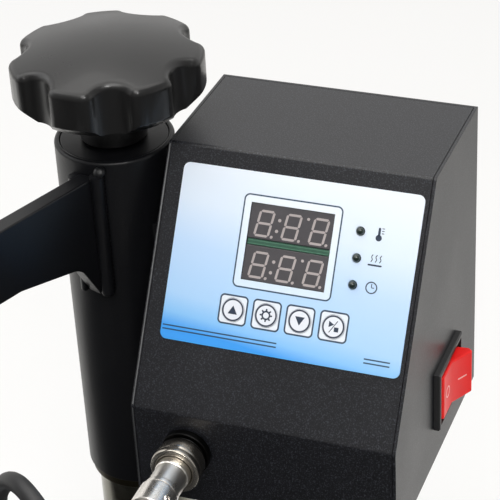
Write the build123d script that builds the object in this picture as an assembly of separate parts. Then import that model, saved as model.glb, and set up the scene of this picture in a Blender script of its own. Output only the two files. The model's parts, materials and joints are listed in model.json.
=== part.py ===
from build123d import *
import math
import os

# Swing-away heat press. Millimetres, +Z up, X to the right, the front at -Y.
# The origin lies on the table, under the middle of the base.

# Base frame of rectangular tube on four rubber feet
base_length = 404.0
runner_spacing = 190.0
tube_side = 30.0
tube_wall = 2.0
end_cap_thickness = 3.0
end_cap_plug = 8.0
end_cap_clearance = 0.1
foot_height = 14.0
foot_radius = 14.0
foot_inset = 17.0
foot_stud_radius = 3.0
bench_hole_radius = 4.5
bench_hole_spacing_y = 300.0

# Column: a steel post on a flange at the back of the base
column_y = 110.0
post_radius = 19.3
post_wall = 3.0
post_top = 306.0
flange_side = 100.0
flange_thickness = 8.0
flange_collar_radius = 25.0
flange_collar_height = 12.0
flange_bolt_spacing = 72.0
column_tube_spacing = 56.0
bolt_m8_radius = 4.0
bolt_m8_head_radius = 6.9
bolt_m8_head_height = 5.3
nut_m8_height = 6.5

# Table, its pedestal and the silicone pad
platen_width = 300.0
platen_depth = 240.0
platen_y = -75.0
platen_corner_radius = 10.0
pedestal_side = 70.0
pedestal_wall = 3.0
pedestal_height = 60.0
pedestal_plate_side = 150.0
pedestal_plate_thickness = 5.0
table_tube_spacing = 60.0
table_thickness = 8.0
table_bolt_spacing = 116.0
pad_thickness = 8.0

# Sleeve that turns and slides on the post, and its height screw
box_top = 345.0
sleeve_wall = 2.0
sleeve_length = 149.0
sleeve_below_box_top = 5.0
bush_wall = 1.44
bush_length = 28.0
bush_flange_thickness = 4.0
bush_flange_inset = 1.2
running_clearance = 0.05
fit_clearance = 0.01
cap_thickness = 8.0
screw_radius = 8.0
screw_length = 118.0
screw_collar_radius = 13.0
screw_collar_height = 8.0
washer_thickness = 2.0
washer_radius = 16.0
nut_flange_thickness = 4.0
nut_length = 24.0
lower_travel = 8.0
upper_travel = 12.0

# Star knob
knob_radius = 36.2
knob_height = 23.4
knob_lobes = 7
knob_first_notch = -43.4
knob_scallop_radius = 8.6
knob_scallop_centre = 39.0
knob_corner_radius = 4.0
knob_crown = 5.5
knob_edge_radius = 3.4
knob_above_sleeve = 16.4
hub_radius = 12.7
hub_recess = 4.0
hub_gap = 0.3

# Arm plate, on the right of the sleeve and guide axes
arm_thickness = 6.8
arm_outer_face = 10.1
arm_top_drop = 10.6
arm_root_height = 34.6
arm_tip_height = 28.6
arm_fillet_drop = 16.0
arm_fillet_radius = 9.0
weld_radius = 2.4
weld_gap = 0.02

# Press head: guide tube, plunger and toggle
guide_radius = 21.0
guide_bottom = 226.0
guide_top = 331.0
guide_mouth = 296.0
guide_mouth_radius = 17.0
plunger_radius = 12.0
guide_bush_wall = 1.95
crank_radius = 12.0
link_length = 52.0
pivot_height = 356.0
handle_travel = 80.0
pivot_pin_radius = 4.5
pivot_pin_overhang = 3.0
link_pin_radius = 3.0
plunger_pin_radius = 3.5
open_pivot_clearance = 1.9
open_pivot_slot = 1.9
link_thickness = 7.6
link_slot = 8.4
link_upper_eye = 6.2
link_lower_eye = 8.0
link_waist = 4.5
hub_disc_radius = 19.0
hub_half_width = 18.0
bracket_gap = 0.4
bracket_thickness = 6.0
bracket_eye_radius = 15.0
bracket_bottom = 292.0
head_flange_radius = 42.0
head_flange_thickness = 7.0
head_bolt_circle = 62.0
head_bolt_radius = 3.0

# Heating platen under its cover
press_opening = 22.0
heater_thickness = 12.0
cover_sheet = 1.2
cover_gap = 0.8
cover_height = 25.0
cover_corner_radius = 12.0
insulation_inset = 4.0
element_radius = 4.0
element_run_spacing = 62.0
element_margin = 32.0
cover_screw_radius = 2.0
gland_radius = 8.0
gland_height = 12.0
gland_x = 26.0
gland_y = -14.0

# Handle
handle_lean = 75.0
handle_bend = 20.0
bar_radius = 9.0
bar_lower_length = 95.0
bar_upper_length = 118.0
bar_bend_radius = 60.0
socket_radius = 13.0
socket_start = 8.0
socket_end = 34.0
socket_depth = 18.0
grip_radius = 14.5
grip_start = 22.0
grip_overhang = 4.0
grip_bore_clearance = 0.05

# Control box, drawn in its own frame: origin at its top front right corner,
# X to the right, Y to the back, Z up. It is turned from the arm by box_turn.
box_turn = 20.0
box_axis_y = 7.6
box_width = 102.0
box_sleeve_gap = 3.2
box_top_depth = 55.5
box_slope_run = 52.3
box_slope_drop = 84.0
box_height = 124.0
box_sheet = 1.2
box_seam = 0.2
box_bend_radius = 1.8
box_rear_flange = 12.0
box_tab = 10.0
small_screw_radius = 1.5
small_screw_head_radius = 2.9
small_screw_head_height = 1.8
box_bracket_low = -92.0
box_bracket_high = -34.0
box_bracket_depth = 26.0

# Panel label, displays, lamps and keys, measured on the slope:
# across from the right edge, and down from the top crease
label_right = 2.8
label_width = 91.7
label_down = 6.7
label_height = 65.4
label_thickness = 0.5
label_corner_radius = 2.5
window_right = 34.7
window_width = 31.9
window_down = 17.8
window_height = 28.3
window_clearance = 0.1
module_height = 12.8
board_depth = 9.0
board_thickness = 1.6
board_margin = 4.0
board_stud_radius = 2.5
board_stud_inset = 4.0
lamp_right = 24.6
lamp_first_down = 22.4
lamp_pitch = 9.65
lamp_radius = 1.5
lamp_proud = 0.6
lamp_hole_clearance = 0.2
key_first_right = 29.3
key_pitch = 12.8
key_down = 57.6
key_radius = 4.3
key_clearance = 0.15
key_proud = 0.2
key_travel = 0.4
key_switch_depth = 3.6
key_switch_side = 6.0

# Rocker switch on the right side of the box
rocker_y = 12.0
rocker_z = -95.5
bezel_length = 31.0
bezel_height = 25.5
bezel_thickness = 2.5
bezel_rim = 1.1
switch_body_length = 28.2
switch_body_height = 22.0
switch_body_depth = 22.0
switch_cavity_depth = 12.0
switch_cutout_clearance = 0.1
rocker_tilt = 14.5
rocker_pivot_depth = 1.0
rocker_end_clearance = 0.3
rocker_side_clearance = 0.3
rocker_face_height = 3.2
rocker_root_depth = 9.0
switch_blade_length = 9.0

# Round connector on the front lip of the box
plug_x = -80.3
plug_z = -99.7
socket_nut_radius = 9.5
socket_nut_thickness = 3.0
socket_thread_radius = 7.6
socket_thread_length = 9.0
socket_body_length = 12.0
ring_radius = 9.6
ring_start = 4.0
ring_length = 9.5
barrel_radius = 6.6
barrel_length = 14.0
clamp_radius = 7.4
clamp_length = 11.0
tail_radius = 5.6
plug_reach = 49.0
plug_gap = 0.05

# Heater cable from the plug to the gland on the heater cover
cable_diameter = 6.5

# Mains inlet at the back of the box, and the power board in it
inlet_x = -66.0
inlet_z = -94.0
inlet_flange_width = 48.0
inlet_flange_height = 22.5
inlet_flange_thickness = 2.5
inlet_body_width = 27.0
inlet_body_height = 19.6
inlet_body_depth = 17.0
inlet_cavity_width = 24.0
inlet_cavity_height = 16.4
inlet_cavity_depth = 14.0
inlet_blade_length = 5.0
power_board_width = 62.0
power_board_depth = 70.0
power_board_x = -58.0
power_board_y = 4.0
power_board_lift = 6.0

# Heights and places that follow from the sizes above
base_top = foot_height + tube_side
table_bottom = base_top + pedestal_height
table_top = table_bottom + table_thickness
pad_top = table_top + pad_thickness
heater_bottom = pad_top + press_opening
heater_top = heater_bottom + heater_thickness
cover_bottom = heater_bottom + 4.0
cover_top = cover_bottom + cover_height
runner_x = runner_spacing / 2
sleeve_top = box_top - sleeve_below_box_top
sleeve_bottom = sleeve_top - sleeve_length
sleeve_bore = post_radius + running_clearance + bush_wall + fit_clearance
sleeve_radius = sleeve_bore + sleeve_wall
bush_flange_radius = sleeve_radius - bush_flange_inset
box_axis_x = -(box_width + box_sleeve_gap + sleeve_radius)
knob_bottom = sleeve_top + knob_above_sleeve
arm_top = box_top - arm_top_drop
rest_drop = math.sqrt(link_length**2 - crank_radius**2)
plunger_pin_z = pivot_height - rest_drop
travel_angle = math.radians(handle_travel)
closed_drop = crank_radius * math.sin(travel_angle) + math.sqrt(
    link_length**2 - (crank_radius * math.cos(travel_angle)) ** 2
)
head_stroke = closed_drop - rest_drop
plunger_bottom = cover_top + head_flange_thickness
bush_outside = plunger_radius + running_clearance + guide_bush_wall
bracket_inner = hub_half_width + bracket_gap
bracket_outer = bracket_inner + bracket_thickness
slope_angle = math.degrees(math.atan2(box_slope_run, box_slope_drop))
box_place = Location((0, column_y, box_top), (0, 0, box_turn)) * Location((-box_axis_x, -box_axis_y, 0))
slope_place = Location((0, 0, 0), (90 - slope_angle, 0, 0))


def block(x_low, x_high, y_low, y_high, z_low, z_high):
    """A box between two corners."""
    size = Box(x_high - x_low, y_high - y_low, z_high - z_low)
    return Pos((x_low + x_high) / 2, (y_low + y_high) / 2, (z_low + z_high) / 2) * size


def post(x, y, z_low, z_high, radius):
    """A round bar along Z."""
    return Pos(x, y, (z_low + z_high) / 2) * Cylinder(radius, z_high - z_low)


def rod_x(y, z, x_low, x_high, radius):
    """A round bar along X."""
    return Pos((x_low + x_high) / 2, y, z) * Rot(0, 90, 0) * Cylinder(radius, x_high - x_low)


def rod_y(x, z, y_low, y_high, radius):
    """A round bar along Y."""
    return Pos(x, (y_low + y_high) / 2, z) * Rot(90, 0, 0) * Cylinder(radius, y_high - y_low)


def ring(x, y, z_low, z_high, inner, outer):
    """A tube along Z."""
    return post(x, y, z_low, z_high, outer) - post(x, y, z_low - 1, z_high + 1, inner)


def hexagon(x, y, z_low, z_high, across_flats):
    """A six-sided bar along Z."""
    face = RegularPolygon(across_flats / math.sqrt(3), 6)
    return Pos(x, y, z_low) * extrude(face, z_high - z_low)


def slab(x, y, z_low, z_high, width, depth, corner):
    """A plate along Z with round corners."""
    return Pos(x, y, z_low) * extrude(RectangleRounded(width, depth, corner), z_high - z_low)


def four_corners(spacing_x, spacing_y, centre_y):
    """The corners of a rectangle about X = 0."""
    return [(sx * spacing_x / 2, centre_y + sy * spacing_y / 2) for sx in (-1, 1) for sy in (-1, 1)]


def save(name, pieces):
    """Write one node as a STEP file."""
    solids = []
    for piece in pieces:
        solids.extend(piece.solids())
    export_step(Compound(children=solids), f"parts/{name}.step")


# Base


def runner(side):
    x = side * runner_x
    half = base_length / 2
    outer = block(x - tube_side / 2, x + tube_side / 2, -half, half, foot_height, base_top)
    inner_side = tube_side / 2 - tube_wall
    body = outer - block(
        x - inner_side, x + inner_side, -half - 1, half + 1, foot_height + tube_wall, base_top - tube_wall
    )
    for end in (-1, 1):
        body -= post(x, end * bench_hole_spacing_y / 2, foot_height - 1, base_top + 1, bench_hole_radius)
        foot_y = end * (half - foot_inset)
        body -= post(x, foot_y, foot_height - 1, foot_height + tube_wall + 1, foot_stud_radius + 0.1)
    return body


def cross_tube(y, top_holes):
    half = runner_x - tube_side / 2
    body = block(-half, half, y - tube_side / 2, y + tube_side / 2, foot_height, base_top)
    inner = tube_side / 2 - tube_wall
    body -= block(-half - 1, half + 1, y - inner, y + inner, foot_height + tube_wall, base_top - tube_wall)
    for x in top_holes:
        body -= post(x, y, base_top - tube_wall - 1, base_top + 1, bolt_m8_radius + 0.2)
    return body


def end_cap(x, end):
    edge = end * base_length / 2
    cap = slab(x, 0, 0, end_cap_thickness, tube_side, tube_side, 3)
    plug_side = tube_side - 2 * tube_wall - 2 * end_cap_clearance
    plug = slab(x, 0, -end_cap_plug, 0, plug_side, plug_side, 2)
    upright = Pos(0, edge, foot_height + tube_side / 2) * Rot(-90 * end, 0, 0)
    return upright * (cap + plug)


def foot(x, y):
    body = post(x, y, 0, foot_height, foot_radius)
    body = chamfer(body.edges().group_by(Axis.Z)[0], 1.5)
    return body + post(x, y, foot_height, foot_height + 10, foot_stud_radius)


def m8_bolt(x, y, seat, length, direction=1):
    """A hexagon-head bolt whose head sits on seat. Its shank goes down, or up where direction is -1."""
    if direction > 0:
        shank = post(x, y, seat - length, seat, bolt_m8_radius)
        head = hexagon(x, y, seat, seat + bolt_m8_head_height, 2 * bolt_m8_head_radius * 0.94)
    else:
        shank = post(x, y, seat, seat + length, bolt_m8_radius)
        head = hexagon(x, y, seat - bolt_m8_head_height, seat, 2 * bolt_m8_head_radius * 0.94)
    return shank + head


def build_base():
    save("base_runner_left", [runner(-1)])
    save("base_runner_right", [runner(1)])
    table_tubes = [cross_tube(platen_y + s * table_tube_spacing / 2, []) for s in (-1, 1)]
    save("table_cross_tubes", table_tubes)
    bolt_x = flange_bolt_spacing / 2
    column_tubes = [cross_tube(column_y + s * column_tube_spacing / 2, [-bolt_x, bolt_x]) for s in (-1, 1)]
    save("column_cross_tubes", column_tubes)
    save("base_end_caps", [end_cap(s * runner_x, e) for s in (-1, 1) for e in (-1, 1)])
    foot_y = base_length / 2 - foot_inset
    save("rubber_feet", [foot(s * runner_x, e * foot_y) for s in (-1, 1) for e in (-1, 1)])


# Column


def build_column():
    seat = base_top + flange_thickness
    flange = slab(0, column_y, base_top, seat, flange_side, flange_side, 8)
    flange += post(0, column_y, seat, seat + flange_collar_height, flange_collar_radius)
    flange -= post(0, column_y, seat, seat + flange_collar_height + 1, post_radius + fit_clearance)
    bolts = []
    for x, y in four_corners(flange_bolt_spacing, column_tube_spacing, column_y):
        flange -= post(x, y, base_top - 1, seat + 1, bolt_m8_radius + 0.2)
        bolts.append(m8_bolt(x, y, seat, flange_thickness + 12))
        nut_top = base_top - tube_wall
        nut = hexagon(x, y, nut_top - nut_m8_height, nut_top, 13)
        bolts.append(nut - post(x, y, nut_top - 10, nut_top + 1, bolt_m8_radius + fit_clearance))
    save("column_flange", [flange])
    save("flange_bolts", bolts)
    save("column_post", [ring(0, column_y, seat, post_top, post_radius - post_wall, post_radius)])

    post_bore = post_radius - post_wall
    nut = post(0, column_y, post_top - nut_length, post_top, post_bore - fit_clearance)
    nut += post(0, column_y, post_top, post_top + nut_flange_thickness, post_radius - 0.5)
    nut -= post(0, column_y, post_top - nut_length - 1, post_top + 10, screw_radius + running_clearance)
    save("lead_nut", [nut])


# Table


def build_table():
    plate_low = table_bottom - pedestal_plate_thickness
    half = pedestal_side / 2
    inner = half - pedestal_wall
    tube = block(-half, half, platen_y - half, platen_y + half, base_top, plate_low)
    tube -= block(-inner, inner, platen_y - inner, platen_y + inner, base_top - 1, plate_low + 1)
    plate = slab(0, platen_y, plate_low, table_bottom, pedestal_plate_side, pedestal_plate_side, 8)
    table = slab(0, platen_y, table_bottom, table_top, platen_width, platen_depth, platen_corner_radius)
    bolts = []
    for x, y in four_corners(table_bolt_spacing, table_bolt_spacing, platen_y):
        plate -= post(x, y, plate_low - 1, table_bottom + 1, bolt_m8_radius + 0.2)
        table -= post(x, y, table_bottom - 1, table_bottom + 6, bolt_m8_radius + fit_clearance)
        bolts.append(m8_bolt(x, y, plate_low, pedestal_plate_thickness + 5.5, -1))
    save("table_pedestal", [tube, plate])
    save("table_bolts", bolts)
    save("lower_table", [table])
    pad = slab(0, platen_y, table_top, pad_top, platen_width, platen_depth, platen_corner_radius)
    save("silicone_pad", [pad])


# Sleeve, height screw and knob


def build_sleeve():
    cap_low = sleeve_top - cap_thickness
    tube = ring(0, column_y, sleeve_bottom, sleeve_top, sleeve_bore, sleeve_radius)
    save("sleeve_tube", [chamfer(tube.edges().group_by(Axis.Z)[-1].sort_by(SortBy.RADIUS)[-1], 0.8)])
    cap = post(0, column_y, cap_low, sleeve_top - 0.4, sleeve_bore - fit_clearance)
    save("sleeve_cap", [cap - post(0, column_y, cap_low - 1, sleeve_top + 1, screw_radius + running_clearance)])

    bore = post_radius + running_clearance
    outside = sleeve_bore - fit_clearance
    lower = ring(0, column_y, sleeve_bottom, sleeve_bottom + bush_length, bore, outside)
    lower += ring(0, column_y, sleeve_bottom - bush_flange_thickness, sleeve_bottom, bore, bush_flange_radius)
    upper_high = post_top - upper_travel - 4
    upper = ring(0, column_y, upper_high - bush_length, upper_high, bore, outside)
    guide_bush = ring(0, platen_y, guide_bottom, guide_mouth - 2, plunger_radius + running_clearance, bush_outside)
    save("arm_bushes", [lower, upper, guide_bush])

    washer_low = cap_low - washer_thickness
    washer = ring(0, column_y, washer_low + 0.05, cap_low - 0.05, screw_radius + 0.1, washer_radius)
    save("thrust_washer", [washer])
    screw_top = knob_bottom + hub_recess + knob_height / 2
    screw = post(0, column_y, screw_top - screw_length, screw_top, screw_radius)
    screw += post(0, column_y, washer_low - screw_collar_height, washer_low, screw_collar_radius)
    save("adjusting_screw", [screw])


def build_knob():
    star = Circle(knob_radius)
    for turn in range(knob_lobes):
        angle = math.radians(knob_first_notch + 360 / knob_lobes * turn)
        centre = (knob_scallop_centre * math.cos(angle), knob_scallop_centre * math.sin(angle))
        star -= Pos(*centre) * Circle(knob_scallop_radius)
    star = fillet(star.vertices(), knob_corner_radius)
    body = extrude(star, knob_height)
    # The crown is a shallow ball with a rounded rim, and the skirt narrows towards the hub.
    ball_radius = (knob_radius**2 + knob_crown**2) / (2 * knob_crown)
    body &= Pos(0, 0, knob_height - ball_radius) * Sphere(ball_radius)
    crown = body.faces().sort_by(Axis.Z)[-1]
    body = fillet(crown.edges(), knob_edge_radius)
    skirt = Cone(knob_radius - 4.5, knob_radius + knob_height, knob_height + 4.5)
    body &= Pos(0, 0, (knob_height + 4.5) / 2) * skirt
    body = Pos(0, column_y, knob_bottom) * body
    body -= post(0, column_y, knob_bottom - 1, knob_bottom + hub_recess, hub_radius + fit_clearance)
    bore_top = knob_bottom + hub_recess + knob_height / 2 + 0.1
    body -= post(0, column_y, knob_bottom, bore_top, screw_radius + fit_clearance)
    save("knob", [body])
    hub_low = sleeve_top + hub_gap
    hub = ring(0, column_y, hub_low, knob_bottom + hub_recess, screw_radius + fit_clearance, hub_radius)
    save("knob_hub", [hub])


# Arm and press head


def arm_outline():
    """The plate's side view: Y to the front is negative, and both ends are cut by the round tubes."""
    root_y = column_y - sleeve_radius
    tip_y = platen_y + guide_radius
    low_root = arm_top - arm_root_height
    low_tip = arm_top - arm_tip_height
    points = [
        (column_y - 12, arm_top),
        (platen_y + 12, arm_top),
        (platen_y + 12, low_tip - arm_fillet_drop),
        (tip_y + 1, low_tip - arm_fillet_drop),
        (tip_y + 9, low_tip),
        (root_y - 40, low_tip),
        (root_y - 10, low_root),
        (root_y - 1, low_root - arm_fillet_drop),
        (column_y - 12, low_root - arm_fillet_drop),
    ]
    face = make_face(Plane.YZ * Polyline(*points, close=True))
    bends = [v for v in face.vertices() if low_root - 1 < v.Z < low_tip + 1]
    return fillet(bends, arm_fillet_radius)


def build_arm():
    blank = extrude(arm_outline(), arm_thickness, dir=(1, 0, 0))
    plate = Pos(arm_outer_face - arm_thickness, 0, 0) * blank
    plate -= post(0, column_y, guide_bottom, arm_top + 1, sleeve_radius + weld_gap)
    plate -= post(0, platen_y, guide_bottom, arm_top + 1, guide_radius + weld_gap)
    save("arm_plate", [plate])

    low_root = arm_top - arm_root_height - arm_fillet_drop
    low_tip = arm_top - arm_tip_height - arm_fillet_drop
    beads = []
    ends = (
        (column_y, -1, sleeve_radius, low_root, sleeve_top - 8),
        (platen_y, 1, guide_radius, low_tip, guide_top - 1),
    )
    for centre_y, side, radius, low, high in ends:
        for face_x, out in ((arm_outer_face, 1), (arm_outer_face - arm_thickness, -1)):
            reach = math.sqrt(radius**2 - face_x**2)
            bead = post(face_x + out * 1.2, centre_y + side * (reach + 1.2), low, high, weld_radius)
            bead -= post(0, centre_y, low - 1, high + 1, radius + weld_gap)
            inner = (arm_outer_face - arm_thickness - weld_gap, arm_outer_face + weld_gap)
            bead -= block(*inner, column_y - 200, column_y + 10, low - 1, high + 1)
            beads.append(bead)
    save("arm_welds", beads)


def build_guide():
    guide = ring(0, platen_y, guide_bottom, guide_top, bush_outside + fit_clearance, guide_radius)
    guide -= post(0, platen_y, guide_mouth, guide_top + 1, guide_mouth_radius)
    guide = chamfer(guide.edges().group_by(Axis.Z)[0].sort_by(SortBy.RADIUS)[-1], 1.0)
    save("head_guide", [guide])

    cheeks = []
    for side in (-1, 1):
        eye = rod_x(platen_y, pivot_height, bracket_inner, bracket_outer, bracket_eye_radius)
        foot_low = block(
            bracket_inner,
            bracket_outer,
            platen_y - bracket_eye_radius,
            platen_y + bracket_eye_radius,
            bracket_bottom,
            pivot_height,
        )
        cheek = eye + foot_low
        cheek -= rod_x(platen_y, pivot_height, bracket_inner - 1, bracket_outer + 1, pivot_pin_radius + fit_clearance)
        cheek -= post(0, platen_y, bracket_bottom - 1, guide_top + 0.5, guide_radius + weld_gap)
        cheeks.append(cheek if side > 0 else mirror(cheek, Plane.YZ))
    save("handle_bracket", cheeks)
    pin_end = bracket_outer + pivot_pin_overhang
    pin = rod_x(platen_y, pivot_height, -pin_end, pin_end, pivot_pin_radius)
    for side in (-1, 1):
        washer = rod_x(platen_y, pivot_height, bracket_outer + 0.1, bracket_outer + 1.5, pivot_pin_radius + 2.5)
        pin += washer if side > 0 else mirror(washer, Plane.YZ)
    save("pivot_pin", [pin])


def build_plunger():
    top = plunger_pin_z + 8.5
    bar = post(0, platen_y, plunger_bottom, top, plunger_radius)
    half_slot = link_slot / 2
    reach = plunger_radius + 1
    slot_low = plunger_pin_z - link_lower_eye - open_pivot_slot - 2.5
    bar -= block(-half_slot, half_slot, platen_y - reach, platen_y + reach, slot_low, top + 1)
    pin_half = plunger_radius - 1.5
    bar -= rod_x(platen_y, plunger_pin_z, -pin_half, pin_half, plunger_pin_radius + fit_clearance)
    save("plunger", [bar])
    save("plunger_pin", [rod_x(platen_y, plunger_pin_z, -pin_half, pin_half, plunger_pin_radius)])

    flange = post(0, platen_y, cover_top, plunger_bottom, head_flange_radius)
    flange = chamfer(flange.edges().group_by(Axis.Z)[-1], 1.0)
    bolts = []
    for turn in range(4):
        angle = math.radians(45 + 90 * turn)
        x = head_bolt_circle / 2 * math.cos(angle)
        y = platen_y + head_bolt_circle / 2 * math.sin(angle)
        flange -= post(x, y, cover_top - 1, plunger_bottom + 1, head_bolt_radius + 0.2)
        bolt = post(x, y, heater_top - 6, plunger_bottom, head_bolt_radius)
        head = post(x, y, plunger_bottom, plunger_bottom + 6, head_bolt_radius * 1.65)
        bolts.append(bolt + head - hexagon(x, y, plunger_bottom + 3, plunger_bottom + 7, 5))
    save("head_flange", [flange])
    save("head_bolts", bolts)


def element_path():
    """The middle line of the heating rod, which goes there and back three times over the platen."""
    left = -platen_width / 2 + element_margin
    right = platen_width / 2 - element_margin
    start_y = platen_y - 1.5 * element_run_spacing
    points = [(left, start_y)]
    for run in range(4):
        y = start_y + run * element_run_spacing
        far = right if run % 2 == 0 else left
        points.append((far, y))
        if run < 3:
            points.append((far, y + element_run_spacing))
    z = heater_top - element_radius
    route = [(x, y, z) for x, y in points]
    return FilletPolyline(*route, radius=element_run_spacing / 2 - 2)


def build_heater():
    platen = slab(0, platen_y, heater_bottom, heater_top, platen_width, platen_depth, platen_corner_radius)
    path = element_path()
    groove_radius = element_radius + fit_clearance
    channel = sweep(Plane(path @ 0, z_dir=path % 0) * Circle(groove_radius), path=path)
    wide = sweep(Plane(path @ 0, z_dir=path % 0) * Rectangle(2 * groove_radius, 2 * groove_radius), path=path)
    channel_top = Pos(0, 0, groove_radius) * wide
    platen -= channel
    platen -= channel_top
    insulation_low = heater_top
    insulation_high = cover_top - cover_sheet
    insulation = slab(
        0,
        platen_y,
        insulation_low,
        insulation_high,
        platen_width - 2 * insulation_inset,
        platen_depth - 2 * insulation_inset,
        platen_corner_radius - insulation_inset,
    )
    width = platen_width + 2 * (cover_gap + cover_sheet)
    depth = platen_depth + 2 * (cover_gap + cover_sheet)
    outer = slab(0, platen_y, cover_bottom, cover_top, width, depth, cover_corner_radius)
    outer = fillet(outer.edges().group_by(Axis.Z)[-1], 4.0)
    inner_width = width - 2 * cover_sheet
    inner_depth = depth - 2 * cover_sheet
    inner_corner = cover_corner_radius - cover_sheet
    inner = slab(0, platen_y, cover_bottom - 1, cover_top - cover_sheet, inner_width, inner_depth, inner_corner)
    inner = fillet(inner.edges().group_by(Axis.Z)[-1], 2.8)
    cover = outer - inner
    insulation &= inner
    for turn in range(4):
        angle = math.radians(45 + 90 * turn)
        x = head_bolt_circle / 2 * math.cos(angle)
        y = platen_y + head_bolt_circle / 2 * math.sin(angle)
        hole = post(x, y, heater_top - 6.5, cover_top + 1, head_bolt_radius + fit_clearance)
        platen -= hole
        insulation -= post(x, y, heater_top - 1, cover_top + 1, head_bolt_radius + 0.2)
        cover -= post(x, y, heater_top, cover_top + 1, head_bolt_radius + 0.2)

    screws = []
    screw_z = cover_bottom + 4.0
    reach = platen_width / 2 - 5
    for side in (-1, 1):
        for y in (platen_y - platen_depth / 3, platen_y + platen_depth / 3):
            shank = rod_x(y, screw_z, reach, width / 2, cover_screw_radius)
            head = rod_x(y, screw_z, width / 2, width / 2 + 1.6, 3.6)
            hole = rod_x(y, screw_z, reach - 0.5, width / 2 + 1, cover_screw_radius + fit_clearance)
            screw = shank + head
            if side < 0:
                screw = mirror(screw, Plane.YZ)
                hole = mirror(hole, Plane.YZ)
            platen -= hole
            cover -= hole
            screws.append(screw)
    save("heating_platen", [platen])
    save("heating_element", [channel_element(path)])
    save("insulation", [insulation])
    save("heater_cover", [cover])
    save("cover_screws", screws)
    gland = hexagon(gland_x, gland_y, cover_top, cover_top + gland_height / 2, 2 * gland_radius)
    dome = post(gland_x, gland_y, cover_top + gland_height / 2, cover_top + gland_height, gland_radius - 1)
    gland += fillet(dome.edges().group_by(Axis.Z)[-1], 2.5)
    save("cable_gland", [gland])


def channel_element(path):
    return sweep(Plane(path @ 0, z_dir=path % 0) * Circle(element_radius), path=path)


# Handle


def toggle_frame(y, z):
    """A point given from the pivot pin, towards the back and up."""
    return (0, platen_y + y, pivot_height + z)


def handle_direction(angle):
    """A unit vector at this many degrees above the forward horizontal."""
    return Vector(0, -math.cos(math.radians(angle)), math.sin(math.radians(angle)))


def make_hull_rod(places, half, radius):
    """A bar along X with the outline of a slot from one place to the other."""
    first, second = places
    middle = (first + second) / 2
    run = second - first
    turn = math.degrees(math.atan2(run.Z, run.Y))
    bar = rod_x(first.Y, first.Z, -half, half, radius) + rod_x(second.Y, second.Z, -half, half, radius)
    return bar + Pos(0, middle.Y, middle.Z) * Rot(turn, 0, 0) * Box(2 * half, run.length, 2 * radius)


def build_handle():
    pivot = Vector(*toggle_frame(0, 0))
    lean = handle_direction(handle_lean)
    hub = rod_x(platen_y, pivot_height, -hub_half_width, hub_half_width, hub_disc_radius)
    socket_plane = Plane(pivot + lean * socket_start, z_dir=lean)
    socket = extrude(socket_plane * Circle(socket_radius), socket_end - socket_start)
    hub += socket
    half_slot = link_slot / 2
    reach = hub_disc_radius + 1
    hub -= block(
        -half_slot,
        half_slot,
        platen_y - reach,
        platen_y + reach,
        pivot_height - reach,
        pivot_height + link_upper_eye + 1.5,
    )
    hub -= rod_x(
        platen_y, pivot_height, -hub_half_width - 1, hub_half_width + 1, pivot_pin_radius + running_clearance
    )
    crank_y = platen_y - crank_radius
    pin_half = hub_half_width - 1.5
    hub -= rod_x(crank_y, pivot_height, -pin_half, pin_half, link_pin_radius + fit_clearance)
    bar_start = socket_end - socket_depth
    bore = socket_plane.offset(bar_start - socket_start) * Circle(bar_radius + fit_clearance)
    hub -= extrude(bore, socket_depth + 1)
    save("handle_hub", [hub])
    save("link_pin", [rod_x(crank_y, pivot_height, -pin_half, pin_half, link_pin_radius)])

    bend_at = pivot + lean * bar_lower_length
    upper = handle_direction(handle_lean + handle_bend)
    tip = bend_at + upper * bar_upper_length
    start = pivot + lean * bar_start
    path = FilletPolyline(start, bend_at, tip, radius=bar_bend_radius)
    bar = sweep(Plane(start, z_dir=lean) * Circle(bar_radius), path=path)
    save("handle_bar", [bar])
    grip_low = bend_at + upper * grip_start
    grip_length = bar_upper_length - grip_start + grip_overhang
    grip_plane = Plane(grip_low, z_dir=upper)
    grip = extrude(grip_plane * Circle(grip_radius), grip_length)
    grip = fillet(grip.edges().filter_by(GeomType.CIRCLE), 3.5)
    grip -= extrude(grip_plane.offset(-1) * Circle(bar_radius + grip_bore_clearance), grip_length - grip_overhang + 1)
    save("handle_grip", [grip])

    low_y = crank_radius
    face = make_face(
        Plane.YZ
        * Polyline(
            (platen_y - low_y - link_waist, pivot_height),
            (platen_y - low_y + link_waist, pivot_height),
            (platen_y + link_waist, plunger_pin_z),
            (platen_y - link_waist, plunger_pin_z),
            close=True,
        )
    )
    half = link_thickness / 2
    link = Pos(-half, 0, 0) * extrude(face, link_thickness, dir=(1, 0, 0))
    link += rod_x(crank_y, pivot_height, -half, half, link_upper_eye)
    # The lower eye is a short slot along the link, so its pin is a loose fit.
    along = (Vector(0, platen_y, plunger_pin_z) - Vector(0, crank_y, pivot_height)).normalized()
    slot_end = Vector(0, platen_y, plunger_pin_z) - along * open_pivot_slot
    eye_places = [Vector(0, platen_y, plunger_pin_z), slot_end]
    link += make_hull_rod(eye_places, half, link_lower_eye)
    link -= rod_x(crank_y, pivot_height, -half - 1, half + 1, link_pin_radius + running_clearance)
    link -= make_hull_rod(eye_places, half + 1, plunger_pin_radius + open_pivot_clearance)
    save("toggle_link", [link])


# Control box


def box_profile(inset):
    """The box's side view as a face across X, moved in by the sheet's inset."""
    points = [
        (0, 0),
        (box_top_depth, 0),
        (box_top_depth, -box_height),
        (-box_slope_run, -box_height),
        (-box_slope_run, -box_slope_drop),
    ]
    face = make_face(Plane.YZ * Polyline(*points, close=True))
    if inset > 0:
        face = offset(face, -inset)
    return face


def profile_bar(inset, bend):
    """The box's inside or outside as a bar along X, from its left side to its right."""
    blank = extrude(box_profile(inset), box_width, dir=(1, 0, 0))
    bar = Pos(-box_width, 0, 0) * blank
    folds = [e for e in bar.edges().filter_by(Axis.X) if e.center().Y < box_top_depth / 2]
    return fillet(folds, bend)


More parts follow.
